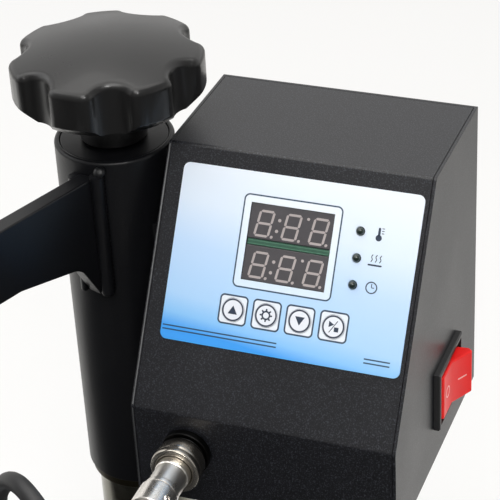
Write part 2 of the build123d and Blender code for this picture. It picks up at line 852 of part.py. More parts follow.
def on_slope(right, down, out=0.0):
    """A place on the sloped panel. Its Z axis points out of the panel and its X axis to the right."""
    return slope_place * Pos(-right, -down, out)


def build_box():
    seam = box_sheet + box_seam
    solid_outside = profile_bar(0, box_bend_radius)
    inside = profile_bar(box_sheet, box_bend_radius - box_sheet)
    wrap = solid_outside - inside
    front = block(-box_width + seam, -seam, -200, box_top_depth - seam, -200, 10)
    wrap &= front
    flange_low = -box_rear_flange
    flange_back = box_top_depth - seam
    wrap += block(
        -box_width + 20, -20, flange_back - box_sheet, flange_back, flange_low, -box_sheet / 2
    )
    wrap = cut_panel(wrap)
    socket_hole = rod_y(plug_x, plug_z, -box_slope_run - 2, -box_slope_run + 4, socket_thread_radius + fit_clearance)
    wrap -= socket_hole

    side_left = block(-box_width, -box_width + box_sheet, -200, 200, -200, 10)
    side_right = block(-box_sheet, 0, -200, 200, -200, 10)
    rear = block(-box_width, 0, box_top_depth - box_sheet, box_top_depth, -200, 10)
    body = (side_left + side_right + rear) & solid_outside
    tab_low = -box_height + box_sheet + 0.05
    screws = []
    for x_low, x_high in ((-box_width + 0.5, -box_width + box_tab), (-box_tab, -0.5)):
        for y in (-box_slope_run + 12, box_top_depth - 14):
            body += block(x_low, x_high, y - box_tab / 2, y + box_tab / 2, tab_low, tab_low + box_sheet)
            x = (x_low + x_high) / 2
            hole = post(x, y, -box_height - 1, tab_low + box_sheet + 1, small_screw_radius + fit_clearance)
            body -= hole
            wrap -= hole
            head_low = -box_height - small_screw_head_height
            screw = post(x, y, -box_height, tab_low + box_sheet + 1.5, small_screw_radius)
            screws.append(screw + post(x, y, head_low, -box_height, small_screw_head_radius))
    for x in (-box_width + 26, -26):
        hole = rod_y(x, flange_low / 2 - 1, flange_back - 4, box_top_depth + 1, small_screw_radius + fit_clearance)
        body -= hole
        wrap -= hole
        shank = rod_y(x, flange_low / 2 - 1, flange_back - 3.5, box_top_depth, small_screw_radius)
        head_high = box_top_depth + small_screw_head_height
        screws.append(shank + rod_y(x, flange_low / 2 - 1, box_top_depth, head_high, small_screw_head_radius))

    cutout_y = switch_body_length / 2 + switch_cutout_clearance
    cutout_z = switch_body_height / 2 + switch_cutout_clearance
    body -= block(
        -box_sheet - 1, 1, rocker_y - cutout_y, rocker_y + cutout_y, rocker_z - cutout_z, rocker_z + cutout_z
    )
    inlet_x_half = inlet_body_width / 2 + 0.1
    inlet_z_half = inlet_body_height / 2 + 0.1
    body -= block(
        inlet_x - inlet_x_half,
        inlet_x + inlet_x_half,
        box_top_depth - box_sheet - 1,
        box_top_depth + 1,
        inlet_z - inlet_z_half,
        inlet_z + inlet_z_half,
    )

    bracket_y = (box_axis_y - box_bracket_depth / 2, box_axis_y + box_bracket_depth / 2)
    bracket = block(
        box_axis_x + sleeve_radius * 0.6, -box_width - 0.02, *bracket_y, box_bracket_low, box_bracket_high
    )
    bracket -= post(box_axis_x, box_axis_y, box_bracket_low - 1, box_bracket_high + 1, sleeve_radius + weld_gap)
    for z in (box_bracket_low + 12, box_bracket_high - 12):
        for y in (box_axis_y - 9, box_axis_y + 9):
            x_in = -box_width + box_sheet
            hole = Pos(x_in, y, z) * Rot(0, 90, 0) * Cylinder(small_screw_radius + fit_clearance, 9)
            body -= hole
            bracket -= hole
            screw = rod_x(y, z, x_in - 4.4, x_in, small_screw_radius)
            screws.append(screw + rod_x(y, z, x_in, x_in + small_screw_head_height, small_screw_head_radius))
    save("box_wrap", [box_place * wrap])
    save("box_body", [box_place * body])
    save("box_screws", [box_place * s for s in screws])
    save("box_bracket", [box_place * bracket])


def panel_cut(right, down, width, height, corner=0.0):
    """A rectangular cutter through the sloped panel, given by its right and upper edges."""
    face = RectangleRounded(width, height, corner) if corner > 0 else Rectangle(width, height)
    return on_slope(right + width / 2, down + height / 2, -4) * extrude(face, 8)


def key_places():
    return [key_first_right + i * key_pitch for i in range(4)]


def lamp_places():
    return [lamp_first_down + i * lamp_pitch for i in range(3)]


def cut_panel(shape):
    """Cut the display window, the lamp holes and the key holes."""
    shape -= panel_cut(window_right, window_down, window_width, window_height)
    for down in lamp_places():
        cutter = Cylinder(lamp_radius + lamp_hole_clearance, 8)
        shape -= on_slope(lamp_right, down) * cutter
    for right in key_places():
        shape -= on_slope(right, key_down) * Cylinder(key_radius + key_clearance, 8)
    return shape


def build_panel():
    sheet = RectangleRounded(label_width, label_height, label_corner_radius)
    place = on_slope(label_right + label_width / 2, label_down + label_height / 2)
    label = cut_panel(place * extrude(sheet, label_thickness))
    save("panel_label", [box_place * label])

    module_width = window_width - 2 * window_clearance
    middle = window_right + window_width / 2
    modules = []
    for down in (
        window_down + window_clearance + module_height / 2,
        window_down + window_height - window_clearance - module_height / 2,
    ):
        module = extrude(Rectangle(module_width, module_height), board_depth + 0.1)
        modules.append(box_place * on_slope(middle, down, -board_depth) * module)
    save("display_modules", modules)

    lamps = []
    for down in lamp_places():
        lamp = extrude(Circle(lamp_radius), board_depth + lamp_proud)
        lamp += Pos(0, 0, board_depth + lamp_proud) * Sphere(lamp_radius)
        lamps.append(box_place * on_slope(lamp_right, down, -board_depth) * lamp)
    save("indicator_lamps", lamps)

    board_width = label_width - 2 * board_margin
    board_height = label_height - 2 * board_margin
    centre_right = label_right + label_width / 2
    centre_down = label_down + label_height / 2
    board = extrude(Rectangle(board_width, board_height), -board_thickness)
    pieces = [on_slope(centre_right, centre_down, -board_depth) * board]
    stud_length = board_depth - box_sheet
    for sx in (-1, 1):
        for sy in (-1, 1):
            right = centre_right + sx * (board_width / 2 - board_stud_inset)
            down = centre_down + sy * (board_height / 2 - board_stud_inset)
            stud = extrude(Circle(board_stud_radius), stud_length)
            pieces.append(on_slope(right, down, -board_depth) * stud)
    switch_height = board_depth - key_switch_depth
    for right in key_places():
        switch = extrude(Rectangle(key_switch_side, key_switch_side), switch_height)
        pieces.append(on_slope(right, key_down, -board_depth) * switch)
    save("display_board", [box_place * p for p in pieces])

    key_bottom = -key_switch_depth + key_travel + 0.05
    key_top = label_thickness + key_proud
    for name, right in zip(("key_start", "key_down", "key_set", "key_up"), key_places()):
        key = extrude(Circle(key_radius), key_top - key_bottom)
        save(name, [box_place * on_slope(right, key_down, key_bottom) * key])


def build_switch():
    cavity_length = bezel_length - 2 * bezel_rim
    cavity_height = bezel_height - 2 * bezel_rim
    half_l = bezel_length / 2
    half_h = bezel_height / 2
    bezel = block(0.02, bezel_thickness, rocker_y - half_l, rocker_y + half_l, rocker_z - half_h, rocker_z + half_h)
    bezel = chamfer(bezel.edges().group_by(Axis.X)[-1], 0.5)
    body_l = switch_body_length / 2
    body_h = switch_body_height / 2
    housing = bezel + block(
        -switch_body_depth, 0.02, rocker_y - body_l, rocker_y + body_l, rocker_z - body_h, rocker_z + body_h
    )
    throat_l = switch_body_length - 2 * bezel_rim
    throat_h = switch_body_height - 2 * bezel_rim
    mouth = block(
        0.8,
        bezel_thickness + 1,
        rocker_y - cavity_length / 2 + 0.6,
        rocker_y + cavity_length / 2 - 0.6,
        rocker_z - cavity_height / 2 + 0.6,
        rocker_z + cavity_height / 2 - 0.6,
    )
    throat = block(
        -switch_cavity_depth,
        bezel_thickness + 1,
        rocker_y - throat_l / 2,
        rocker_y + throat_l / 2,
        rocker_z - throat_h / 2,
        rocker_z + throat_h / 2,
    )
    housing -= mouth
    housing -= throat
    for dy in (-9, 0, 9):
        blade = block(
            -switch_body_depth - switch_blade_length,
            -switch_body_depth,
            rocker_y + dy - 0.4,
            rocker_y + dy + 0.4,
            rocker_z - 3,
            rocker_z + 3,
        )
        housing += blade
    pin_gap = -rocker_pivot_depth
    stub = post(pin_gap, rocker_y, rocker_z + throat_h / 2 - 0.05, rocker_z + throat_h / 2 + 1.2, 1.2)
    save("switch_housing", [box_place * (housing - stub)])

    reach = throat_l / 2 - rocker_end_clearance
    half_throat = throat_h / 2 - rocker_side_clearance
    tilt = math.tan(math.radians(rocker_tilt))
    points = [
        (-rocker_root_depth, rocker_y - 7),
        (rocker_face_height + reach * tilt, rocker_y - reach),
        (rocker_face_height, rocker_y),
        (rocker_face_height + reach * tilt, rocker_y + reach),
        (-rocker_root_depth, rocker_y + 7),
    ]
    face = make_face(Polyline(*points, close=True))
    rocker = Pos(0, 0, rocker_z - half_throat) * extrude(face, 2 * half_throat)
    rocker &= post(-rocker_pivot_depth, rocker_y, rocker_z - 20, rocker_z + 20, reach)
    turn = Pos(-rocker_pivot_depth, rocker_y, 0) * Rot(0, 0, -rocker_tilt) * Pos(rocker_pivot_depth, -rocker_y, 0)
    save("switch_rocker", [box_place * turn * rocker])


def build_connector():
    front = -box_slope_run
    socket = rod_y(plug_x, plug_z, front - socket_thread_length, front + socket_body_length, socket_thread_radius)
    nut = rod_y(plug_x, plug_z, front - socket_nut_thickness, front - 0.02, socket_nut_radius)
    back_nut = rod_y(plug_x, plug_z, front + box_sheet + 0.02, front + box_sheet + 2.5, socket_nut_radius)
    save("panel_socket", [box_place * (socket + nut + back_nut)])

    ring_front = front - ring_start - ring_length
    coupling = rod_y(plug_x, plug_z, ring_front, front - ring_start, ring_radius)
    coupling = fillet(coupling.edges().filter_by(GeomType.CIRCLE), 1.6)
    coupling -= rod_y(
        plug_x, plug_z, front - socket_thread_length - plug_gap, front, socket_thread_radius + plug_gap
    )
    clamp_start = ring_front - barrel_length
    barrel = rod_y(plug_x, plug_z, clamp_start, ring_front + 1, barrel_radius)
    clamp = rod_y(plug_x, plug_z, clamp_start - clamp_length, clamp_start, clamp_radius)
    tail = rod_y(plug_x, plug_z, front - plug_reach, clamp_start - clamp_length, tail_radius)
    tail = chamfer(tail.edges().group_by(Axis.Y)[0], 1.2)
    save("cable_plug", [box_place * (coupling + barrel + clamp + tail)])


def build_cable():
    start = (box_place * Pos(plug_x, -box_slope_run - plug_reach, plug_z)).position
    ahead = Vector(math.sin(math.radians(box_turn)), -math.cos(math.radians(box_turn)), 0)
    end = Vector(gland_x, gland_y, cover_top + gland_height)
    points = [
        start,
        start + ahead * 15,
        Vector(99, 0, 249),
        Vector(104, -14, 261),
        Vector(97, -22, 276),
        Vector(83, -19, 288),
        Vector(66, -14, 287),
        Vector(50, -8, 269),
        Vector(35, 3, 247),
        Vector(28, -7, 220),
        Vector(26, -14, 206),
        end,
    ]
    radii = []
    for before, corner, after in zip(points, points[1:], points[2:]):
        first = corner - before
        second = after - corner
        half_turn = math.radians(first.get_angle(second)) / 2
        radii.append(0.45 * min(first.length, second.length) / math.tan(half_turn))
    print("cable radii", [round(r, 1) for r in radii])
    path = FilletPolyline(*points, radius=radii)
    tube = sweep(Plane(start, z_dir=ahead) * Circle(cable_diameter / 2), path=path)
    expected = math.pi * (cable_diameter / 2) ** 2 * path.length
    print("cable length", round(path.length, 2), "volume", round(tube.volume, 1), "expected", round(expected, 1))
    save("heater_cable", [tube])


def build_mains():
    back = box_top_depth
    flange = block(
        inlet_x - inlet_flange_width / 2,
        inlet_x + inlet_flange_width / 2,
        back + 0.02,
        back + inlet_flange_thickness,
        inlet_z - inlet_flange_height / 2,
        inlet_z + inlet_flange_height / 2,
    )
    flange = fillet(flange.edges().filter_by(Axis.Y), 4.0)
    body = block(
        inlet_x - inlet_body_width / 2,
        inlet_x + inlet_body_width / 2,
        back - inlet_body_depth,
        back + 0.02,
        inlet_z - inlet_body_height / 2,
        inlet_z + inlet_body_height / 2,
    )
    inlet = flange + body
    cavity_back = back + inlet_flange_thickness - inlet_cavity_depth
    cavity = block(
        inlet_x - inlet_cavity_width / 2,
        inlet_x + inlet_cavity_width / 2,
        cavity_back,
        back + inlet_flange_thickness + 1,
        inlet_z - inlet_cavity_height / 2,
        inlet_z + inlet_cavity_height / 2,
    )
    inlet -= fillet(cavity.edges().filter_by(Axis.Y), 1.5)
    for dx, dz in ((-7, -2), (0, 2), (7, -2)):
        inlet += block(
            inlet_x + dx - 1,
            inlet_x + dx + 1,
            cavity_back - 0.5,
            cavity_back + inlet_blade_length,
            inlet_z + dz - 2.5,
            inlet_z + dz + 2.5,
        )
    for side in (-1, 1):
        x = inlet_x + side * 20
        head = rod_y(x, inlet_z, back + inlet_flange_thickness, back + inlet_flange_thickness + 1.2, 2.6)
        inlet += head
    save("mains_inlet", [box_place * inlet])

    floor = -box_height + box_sheet
    low = floor + power_board_lift
    x_low = power_board_x - power_board_width / 2
    y_low = power_board_y - power_board_depth / 2
    board = block(
        x_low, x_low + power_board_width, y_low, y_low + power_board_depth, low, low + board_thickness
    )
    top = low + board_thickness
    pieces = [board]
    for sx in (-1, 1):
        for sy in (-1, 1):
            x = power_board_x + sx * (power_board_width / 2 - 4)
            y = power_board_y + sy * (power_board_depth / 2 - 4)
            pieces.append(post(x, y, floor, low, 2.5))
    pieces.append(block(x_low + 6, x_low + 36, y_low + 30, y_low + 58, top, top + 24))
    pieces.append(block(x_low + 42, x_low + 58, y_low + 34, y_low + 54, top, top + 16))
    pieces.append(block(x_low + 10, x_low + 46, y_low + 10, y_low + 20, top, top + 10))
    pieces.append(block(x_low + 50, x_low + 53, y_low + 10, y_low + 28, top, top + 22))
    save("power_board", [box_place * p for p in pieces])


os.makedirs("parts", exist_ok=True)
build_base()
build_column()
build_table()
build_sleeve()
build_knob()
build_arm()
build_guide()
build_plunger()
build_heater()
build_handle()
build_box()
build_panel()
build_switch()
build_connector()
build_cable()
build_mains()
link_ratio_true = math.degrees(math.asin(crank_radius / link_length))
closed_lean = math.degrees(math.asin(crank_radius * math.cos(travel_angle) / link_length))
print("head stroke", round(head_stroke, 3), "link leans", round(link_ratio_true, 2), round(closed_lean, 2))
print("platen gap at rest", press_opening, "least", round(press_opening - head_stroke - lower_travel, 2))
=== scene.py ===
import json
import math
import bpy
from mathutils import Matrix, Vector
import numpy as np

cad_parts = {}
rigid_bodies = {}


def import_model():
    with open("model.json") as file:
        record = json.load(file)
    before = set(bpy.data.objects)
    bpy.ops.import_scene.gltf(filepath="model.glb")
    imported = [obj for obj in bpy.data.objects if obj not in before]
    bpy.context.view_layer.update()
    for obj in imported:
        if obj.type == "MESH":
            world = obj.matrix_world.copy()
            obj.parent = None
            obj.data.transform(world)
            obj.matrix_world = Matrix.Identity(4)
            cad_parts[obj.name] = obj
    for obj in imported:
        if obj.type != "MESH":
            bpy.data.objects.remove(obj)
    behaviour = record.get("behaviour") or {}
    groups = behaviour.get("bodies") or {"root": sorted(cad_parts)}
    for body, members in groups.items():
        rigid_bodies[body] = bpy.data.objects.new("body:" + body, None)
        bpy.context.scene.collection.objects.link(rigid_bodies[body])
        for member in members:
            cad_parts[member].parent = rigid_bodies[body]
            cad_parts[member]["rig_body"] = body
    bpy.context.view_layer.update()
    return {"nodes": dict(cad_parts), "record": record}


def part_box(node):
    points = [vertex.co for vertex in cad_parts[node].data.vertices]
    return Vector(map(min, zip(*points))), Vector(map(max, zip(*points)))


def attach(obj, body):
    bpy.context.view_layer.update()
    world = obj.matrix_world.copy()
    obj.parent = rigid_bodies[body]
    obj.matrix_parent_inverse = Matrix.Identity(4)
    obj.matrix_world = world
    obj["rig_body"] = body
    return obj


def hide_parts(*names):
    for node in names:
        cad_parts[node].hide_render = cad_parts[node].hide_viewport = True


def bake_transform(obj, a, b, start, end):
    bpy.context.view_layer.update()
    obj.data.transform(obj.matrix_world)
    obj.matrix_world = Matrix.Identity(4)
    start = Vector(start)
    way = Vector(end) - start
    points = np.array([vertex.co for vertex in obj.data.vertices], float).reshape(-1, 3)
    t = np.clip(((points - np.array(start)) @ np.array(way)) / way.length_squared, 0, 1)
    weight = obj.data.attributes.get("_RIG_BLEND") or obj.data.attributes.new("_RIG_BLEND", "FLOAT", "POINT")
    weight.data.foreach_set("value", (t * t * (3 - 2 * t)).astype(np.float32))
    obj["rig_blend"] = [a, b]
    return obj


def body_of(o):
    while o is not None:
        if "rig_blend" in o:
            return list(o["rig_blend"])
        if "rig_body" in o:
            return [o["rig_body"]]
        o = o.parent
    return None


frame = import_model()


# Base tubes: two runners with four cross tubes let in between them, cut from 30 mm square
# steel tube, welded all round and powder coated black in one piece. The coat has a fine
# orange peel and a few pale grains, and it is worn a little by handling.
class Wire:
    """A socket of a material that takes part in sums and hangs further nodes on its tree."""

    def __init__(self, tree, socket):
        self.tree = tree
        self.socket = socket

    def feed(self, socket, value):
        if isinstance(value, Wire):
            self.tree.links.new(value.socket, socket)
        elif socket.type == "RGBA":
            socket.default_value = (*value, 1)
        else:
            socket.default_value = value

    def node(self, kind, settings=(), values=(), output=0):
        made = self.tree.nodes.new(kind)
        for name, value in dict(settings).items():
            if name == "stops":
                ramp = made.color_ramp.elements
                while len(ramp) < len(value):
                    ramp.new(0.5)
                for stop, (where, colour) in zip(ramp, value):
                    stop.position = where
                    stop.color = (*colour, 1)
            else:
                setattr(made, name, value)
        for name, value in dict(values).items():
            self.feed(made.inputs[name], value)
        return Wire(self.tree, made.outputs[output])

    def sum(self, how, first, second=0.0, hold=False):
        settings = {"operation": how, "use_clamp": hold}
        return self.node("ShaderNodeMath", settings, {0: first, 1: second})

    def __add__(self, other):
        return self.sum("ADD", self, other)

    def __sub__(self, other):
        return self.sum("SUBTRACT", self, other)

    def __rsub__(self, other):
        return self.sum("SUBTRACT", other, self)

    def __mul__(self, other):
        return self.sum("MULTIPLY", self, other)

    def __truediv__(self, other):
        return self.sum("DIVIDE", self, other)

    def __rtruediv__(self, other):
        return self.sum("DIVIDE", other, self)

    __radd__ = __add__
    __rmul__ = __mul__

    def most(self, other):
        return self.sum("MAXIMUM", self, other)

    def least(self, other):
        return self.sum("MINIMUM", self, other)

    def size(self):
        return self.sum("ABSOLUTE", self)

    def held(self):
        """The value held between 0 and 1."""
        return self.sum("ADD", self, 0.0, hold=True)

    def noise(self, scale, detail=2.0, stretch=None):
        """Even noise over a place, drawn out along an axis where stretch is given."""
        place = self
        if stretch:
            place = self.node("ShaderNodeMapping", {}, {"Vector": self, "Scale": stretch})
        values = {"Vector": place, "Scale": scale, "Detail": detail}
        return self.node("ShaderNodeTexNoise", {}, values)

    def dye(self, first, second):
        """A colour that goes from the first to the second as the value goes from 0 to 1."""
        # The mix node's two colours are its inputs 6 and 7, and the mixed one is its output 2.
        values = {0: self, 6: first, 7: second}
        return self.node("ShaderNodeMix", {"data_type": "RGBA"}, values, output=2)


def start_finish(name):
    """A new material, with its surface node and the place on the object to work from."""
    material = bpy.data.materials.new(name)
    material.use_nodes = True
    tree = material.node_tree
    place = Wire(tree, tree.nodes.new("ShaderNodeTexCoord").outputs["Object"])
    return material, tree.nodes["Principled BSDF"], place


def set_finish(surface, wire, colour, rough, height=None, depth=0.0001, strength=0.5, metal=0.0):
    """Joins a finish's colour, roughness and height to its surface. Depth is in metres."""
    wire.feed(surface.inputs["Base Color"], colour)
    wire.feed(surface.inputs["Roughness"], rough)
    surface.inputs["Metallic"].default_value = metal
    if height is not None:
        values = {"Strength": strength, "Distance": depth, "Height": height}
        bump = wire.node("ShaderNodeBump", {}, values)
        wire.feed(surface.inputs["Normal"], bump)


def powder_coat(name, dark, pale, grains, rough, grain_size=0.00045, sheen=0.5):
    """Baked powder paint, satin, with orange peel and fine pale grains."""
    material, surface, place = start_finish(name)
    surface.inputs["Specular IOR Level"].default_value = sheen
    peel = place.noise(0.45 / grain_size, 1.0)
    fine = place.noise(1.6 / grain_size, 0.0)
    worn = place.noise(22.0, 5.0)
    spots = ((fine - 0.54) * 5.0).held() * grains
    colour = (spots + (worn - 0.55).most(0.0) * 0.35).held().dye(dark, pale)
    set_finish(surface, place, colour, rough + (worn - 0.5) * 0.14, peel * 0.7 + fine * 0.5,
               depth=0.00006, strength=0.42)
    return material


def only(*pieces):
    """Deselects everything, then selects these pieces and makes the first one active."""
    bpy.ops.object.select_all(action="DESELECT")
    for piece in pieces:
        piece.select_set(True)
    bpy.context.view_layer.objects.active = pieces[0]


slot_of_node = {part["node"]: part["material_slot"] for part in frame["record"]["subparts"]}


def hand_over(piece, finish, body, slot, *nodes):
    """Paints a piece, sets it on its body and lets it stand for the CAD pieces named."""
    piece.data.materials.clear()
    piece.data.materials.append(finish)
    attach(piece, body)
    if nodes:
        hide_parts(*nodes)
    return piece


def bevelled(piece, width, segments=2, angle=30.0):
    """Breaks the edges of a piece that are sharper than an angle, and shades it smooth."""
    only(piece)
    if width:
        broken = piece.modifiers.new("broken_edges", "BEVEL")
        broken.width = width
        broken.segments = segments
        broken.limit_method = "ANGLE"
        broken.angle_limit = math.radians(angle)
        broken.use_clamp_overlap = True
        bpy.ops.object.modifier_apply(modifier="broken_edges")
    bpy.ops.object.shade_smooth_by_angle(angle=math.radians(34))
    leading = piece.modifiers.new("large_faces_lead", "WEIGHTED_NORMAL")
    leading.keep_sharp = True
    bpy.ops.object.modifier_apply(modifier="large_faces_lead")
    return piece


def softened(node, width, finish, segments=2):
    """A copy of a CAD piece with its edges broken as a file or a tumbler leaves them."""
    source = frame["nodes"][node]
    piece = bpy.data.objects.new(node + "_finished", source.data.copy())
    bpy.context.collection.objects.link(piece)
    only(piece)
    bpy.ops.object.mode_set(mode="EDIT")
    bpy.ops.mesh.select_all(action="SELECT")
    bpy.ops.mesh.remove_doubles(threshold=0.000002)
    bpy.ops.mesh.dissolve_limited(angle_limit=math.radians(0.4))
    bpy.ops.object.mode_set(mode="OBJECT")
    bevelled(piece, width, segments)
    body = body_of(source)[0]
    return hand_over(piece, finish, body, slot_of_node[node], node)


black_coat = powder_coat(
    "black_powder_coat", (0.0125, 0.0128, 0.0145), (0.06, 0.061, 0.066), grains=0.25, rough=0.36)
for node in ("base_runner_left", "base_runner_right"):
    softened(node, 0.0018, black_coat, 3)
for node in ("table_cross_tubes", "column_cross_tubes"):
    softened(node, 0.0016, black_coat, 3)


def turned(name, steps, sides=48):
    """A turned piece along Z from its foot: steps are (height, radius) pairs in metres."""
    bpy.ops.object.select_all(action="DESELECT")
    height, radius = steps[0]
    bpy.ops.mesh.primitive_circle_add(
        vertices=sides, radius=radius, fill_type="NGON", location=(0, 0, height))
    piece = bpy.context.object
    piece.name = name
    bpy.ops.object.mode_set(mode="EDIT")
    bpy.ops.mesh.select_mode(type="FACE")
    bpy.ops.mesh.select_all(action="SELECT")
    for next_height, next_radius in steps[1:]:
        rise = (0, 0, next_height - height)
        bpy.ops.mesh.extrude_region_move(TRANSFORM_OT_translate={"value": rise})
        if next_radius != radius:
            scale = next_radius / radius
            bpy.ops.transform.resize(value=(scale, scale, 1), center_override=(0, 0, next_height))
        height, radius = next_height, next_radius
    bpy.ops.mesh.select_all(action="SELECT")
    bpy.ops.mesh.normals_make_consistent(inside=False)
    bpy.ops.object.mode_set(mode="OBJECT")
    return piece


def put(piece, place):
    """Moves a finished mesh to its place, leaving its object at the origin."""
    only(piece)
    piece.matrix_world = place
    bpy.ops.object.transform_apply(location=True, rotation=True, scale=True)
    return piece


def along(start, end):
    """The place of a piece made along Z from the origin that runs from start towards end."""
    way = Vector(end) - Vector(start)
    return Matrix.Translation(start) @ way.to_track_quat("Z", "Y").to_matrix().to_4x4()


def weld_run(name, start, end, radius, finish, body="base", slot="frame_black"):
    """A weld between two ends, with the ripples that each dip of the wire leaves."""
    dip_pitch, hollow, crest, end_radius = 0.0017, 0.0003, 0.0010, radius * 0.35
    length = (Vector(end) - Vector(start)).length
    dips = max(3, round(length / dip_pitch))
    steps = [(0, end_radius)]
    for dip in range(dips):
        low = length * dip / dips
        steps += [(low + hollow, radius * 0.94), (low + crest, radius)]
    steps += [(length, end_radius)]
    run = turned(name, steps, 16)
    put(run, along(start, end))
    bevelled(run, 0)
    bpy.ops.object.shade_smooth()
    return hand_over(run, finish, body, slot)


def joined(name, pieces):
    """Several pieces made one object."""
    only(*pieces)
    bpy.ops.object.join()
    pieces[0].name = name
    return pieces[0]


# A weld stands in each corner between a runner's inner face and the side of a cross tube.
weld_foot, weld_top, cross_weld_radius = 0.0165, 0.0415, 0.0019
for name, x in (("left", -0.080 + 0.0016), ("right", 0.080 - 0.0016)):
    for number, middle_of_tube in enumerate((-0.1045, -0.0455, 0.0825, 0.1375)):
        for side, half_tube in (("front", -0.0135 * 1.09), ("back", 0.0135 * 1.09)):
            y = middle_of_tube + half_tube
            weld_run(f"weld_cross_{name}_{number}_{side}", (x, y, weld_foot), (x, y, weld_top),
                     cross_weld_radius, black_coat)


# End caps: black polyethylene plugs pushed into the open ends of the tubes, with a domed
# head as wide as the tube. They are injection moulded with a fine spark-eroded grain.
def moulded(name, colour, rough, grain=0.0004, depth=0.00005):
    """Moulded plastic or rubber with the fine grain of its mould."""
    material, surface, place = start_finish(name)
    fine = place.noise(1 / grain, 1.0)
    flow = place.noise(35.0, 3.0)
    lighter = tuple(part * 1.5 + 0.008 for part in colour)
    set_finish(surface, place, (flow * 0.7 + fine * 0.3).held().dye(colour, lighter),
               rough + (flow - 0.5) * 0.12, fine, depth, strength=0.35)
    return material


black_plastic = moulded("black_plastic", (0.012, 0.012, 0.013), 0.42)
softened("base_end_caps", 0.0016, black_plastic, 3)


# Feet: turned rubber bumpers under the ends of the runners, each held by a bonded stud.
# Black rubber, matt, with a little bloom.
black_rubber = moulded("black_rubber", (0.016, 0.016, 0.016), 0.72, grain=0.0006, depth=0.0001)
softened("rubber_feet", 0.0010, black_rubber, 3)


# Column flange: a plate with a short collar, bored for the post and bolted through the two
# rear cross tubes with four zinc plated M8 bolts. The collar is welded round to the plate.
softened("column_flange", 0.0012, black_coat, 3)


def plated(name, colour, rough, smear=30.0, streak=None, depth=0.00003, scale=900.0,
           strength=0.25):
    """Plated or bare metal: bright, with faint smears and fine marks."""
    material, surface, place = start_finish(name)
    marks = place.noise(scale, 3.0, streak)
    cloud = place.noise(smear, 4.0)
    darker = tuple(part * 0.72 for part in colour)
    set_finish(surface, place, (cloud * 0.6 + marks * 0.4).held().dye(darker, colour),
               (rough + (cloud - 0.5) * 0.22 + (marks - 0.5) * 0.12).held(),
               marks, depth, strength, metal=1.0)
    return material


zinc = plated("zinc_plate", (0.62, 0.63, 0.65), 0.32)
softened("flange_bolts", 0.0005, zinc)


def ring_weld(name, centre, ring_radius, bead_radius, finish, body="base", slot="frame_black"):
    """A weld right round a tube: a round bead spun about the tube, with its ripples."""
    dip_pitch, rings_a_dip, points_a_ring, proud = 0.0019, 3, 10, 1.10
    bpy.ops.object.select_all(action="DESELECT")
    dips = round(2 * math.pi * ring_radius / dip_pitch)
    bpy.ops.mesh.primitive_torus_add(
        location=centre, major_radius=ring_radius, minor_radius=bead_radius,
        major_segments=dips * rings_a_dip, minor_segments=points_a_ring,
    )
    run = bpy.context.object
    run.name = name
    # Every third ring of the bead stands a little proud, as the dips of the wire leave it.
    for count, point in enumerate(run.data.vertices):
        if (count // points_a_ring) % rings_a_dip == 0:
            middle = Vector((point.co.x, point.co.y, 0)).normalized() * ring_radius
            point.co = middle + (point.co - middle) * proud
    put(run, run.matrix_world.copy())
    only(run)
    bpy.ops.object.shade_smooth()
    return hand_over(run, finish, body, slot)


ring_weld("weld_flange_collar", (0, 0.110, 0.0526), 0.0250, 0.0022, black_coat)


# Post: ground steel tube pressed into the flange; the sleeve turns and slides on it. The ring
# marks of the grinding wheel and a thin film of grease show.
steel, surface, place = start_finish("ground_steel_post")
rings = place.noise(14.0, 4.0, (1.0, 1.0, 60.0))
grease = place.noise(26.0, 5.0)
set_finish(surface, place,
           (grease * 0.5 + rings * 0.5).held().dye((0.13, 0.125, 0.095), (0.34, 0.335, 0.29)),
           (0.24 + (grease - 0.5) * 0.25 + (rings - 0.5) * 0.12).held(),
           rings, depth=0.00003, strength=0.2, metal=1.0)
softened("column_post", 0.0006, steel)


# Nut: a flanged bronze nut pressed into the top of the post, in which the height screw runs.
bronze, surface, place = start_finish("bearing_bronze")
cloud = place.noise(60.0, 4.0)
marks = place.noise(700.0, 2.0, (1.0, 1.0, 3.0))
set_finish(surface, place,
           (cloud * 0.7 + marks * 0.3).held().dye((0.16, 0.085, 0.045), (0.36, 0.20, 0.10)),
           (0.34 + (cloud - 0.5) * 0.25).held(), marks, depth=0.00004, strength=0.3, metal=0.9)
softened("lead_nut", 0.0005, bronze)


# Pedestal and table: a square tube between two plates, welded and coated black, carries a
# ground steel table. Four zinc plated bolts go up through the top plate into the table.
softened("table_pedestal", 0.0015, black_coat, 3)
number = 0
for foot_or_top in (0.0505, 0.0975):
    for x_start, y_start, x_end, y_end in (
        (-0.033, -0.1112, 0.033, -0.1112), (-0.033, -0.0388, 0.033, -0.0388),
        (-0.0362, -0.108, -0.0362, -0.042), (0.0362, -0.108, 0.0362, -0.042),
    ):
        weld_run(f"weld_pedestal_{number}", (x_start, y_start, foot_or_top),
                 (x_end, y_end, foot_or_top), 0.0021, black_coat)
        number += 1
table_steel = plated("ground_table_steel", (0.40, 0.40, 0.41), 0.38, smear=18.0,
                     streak=(0.12, 1.0, 1.0), depth=0.00004, scale=700.0)
softened("lower_table", 0.0010, table_steel)
softened("table_bolts", 0.0005, zinc)


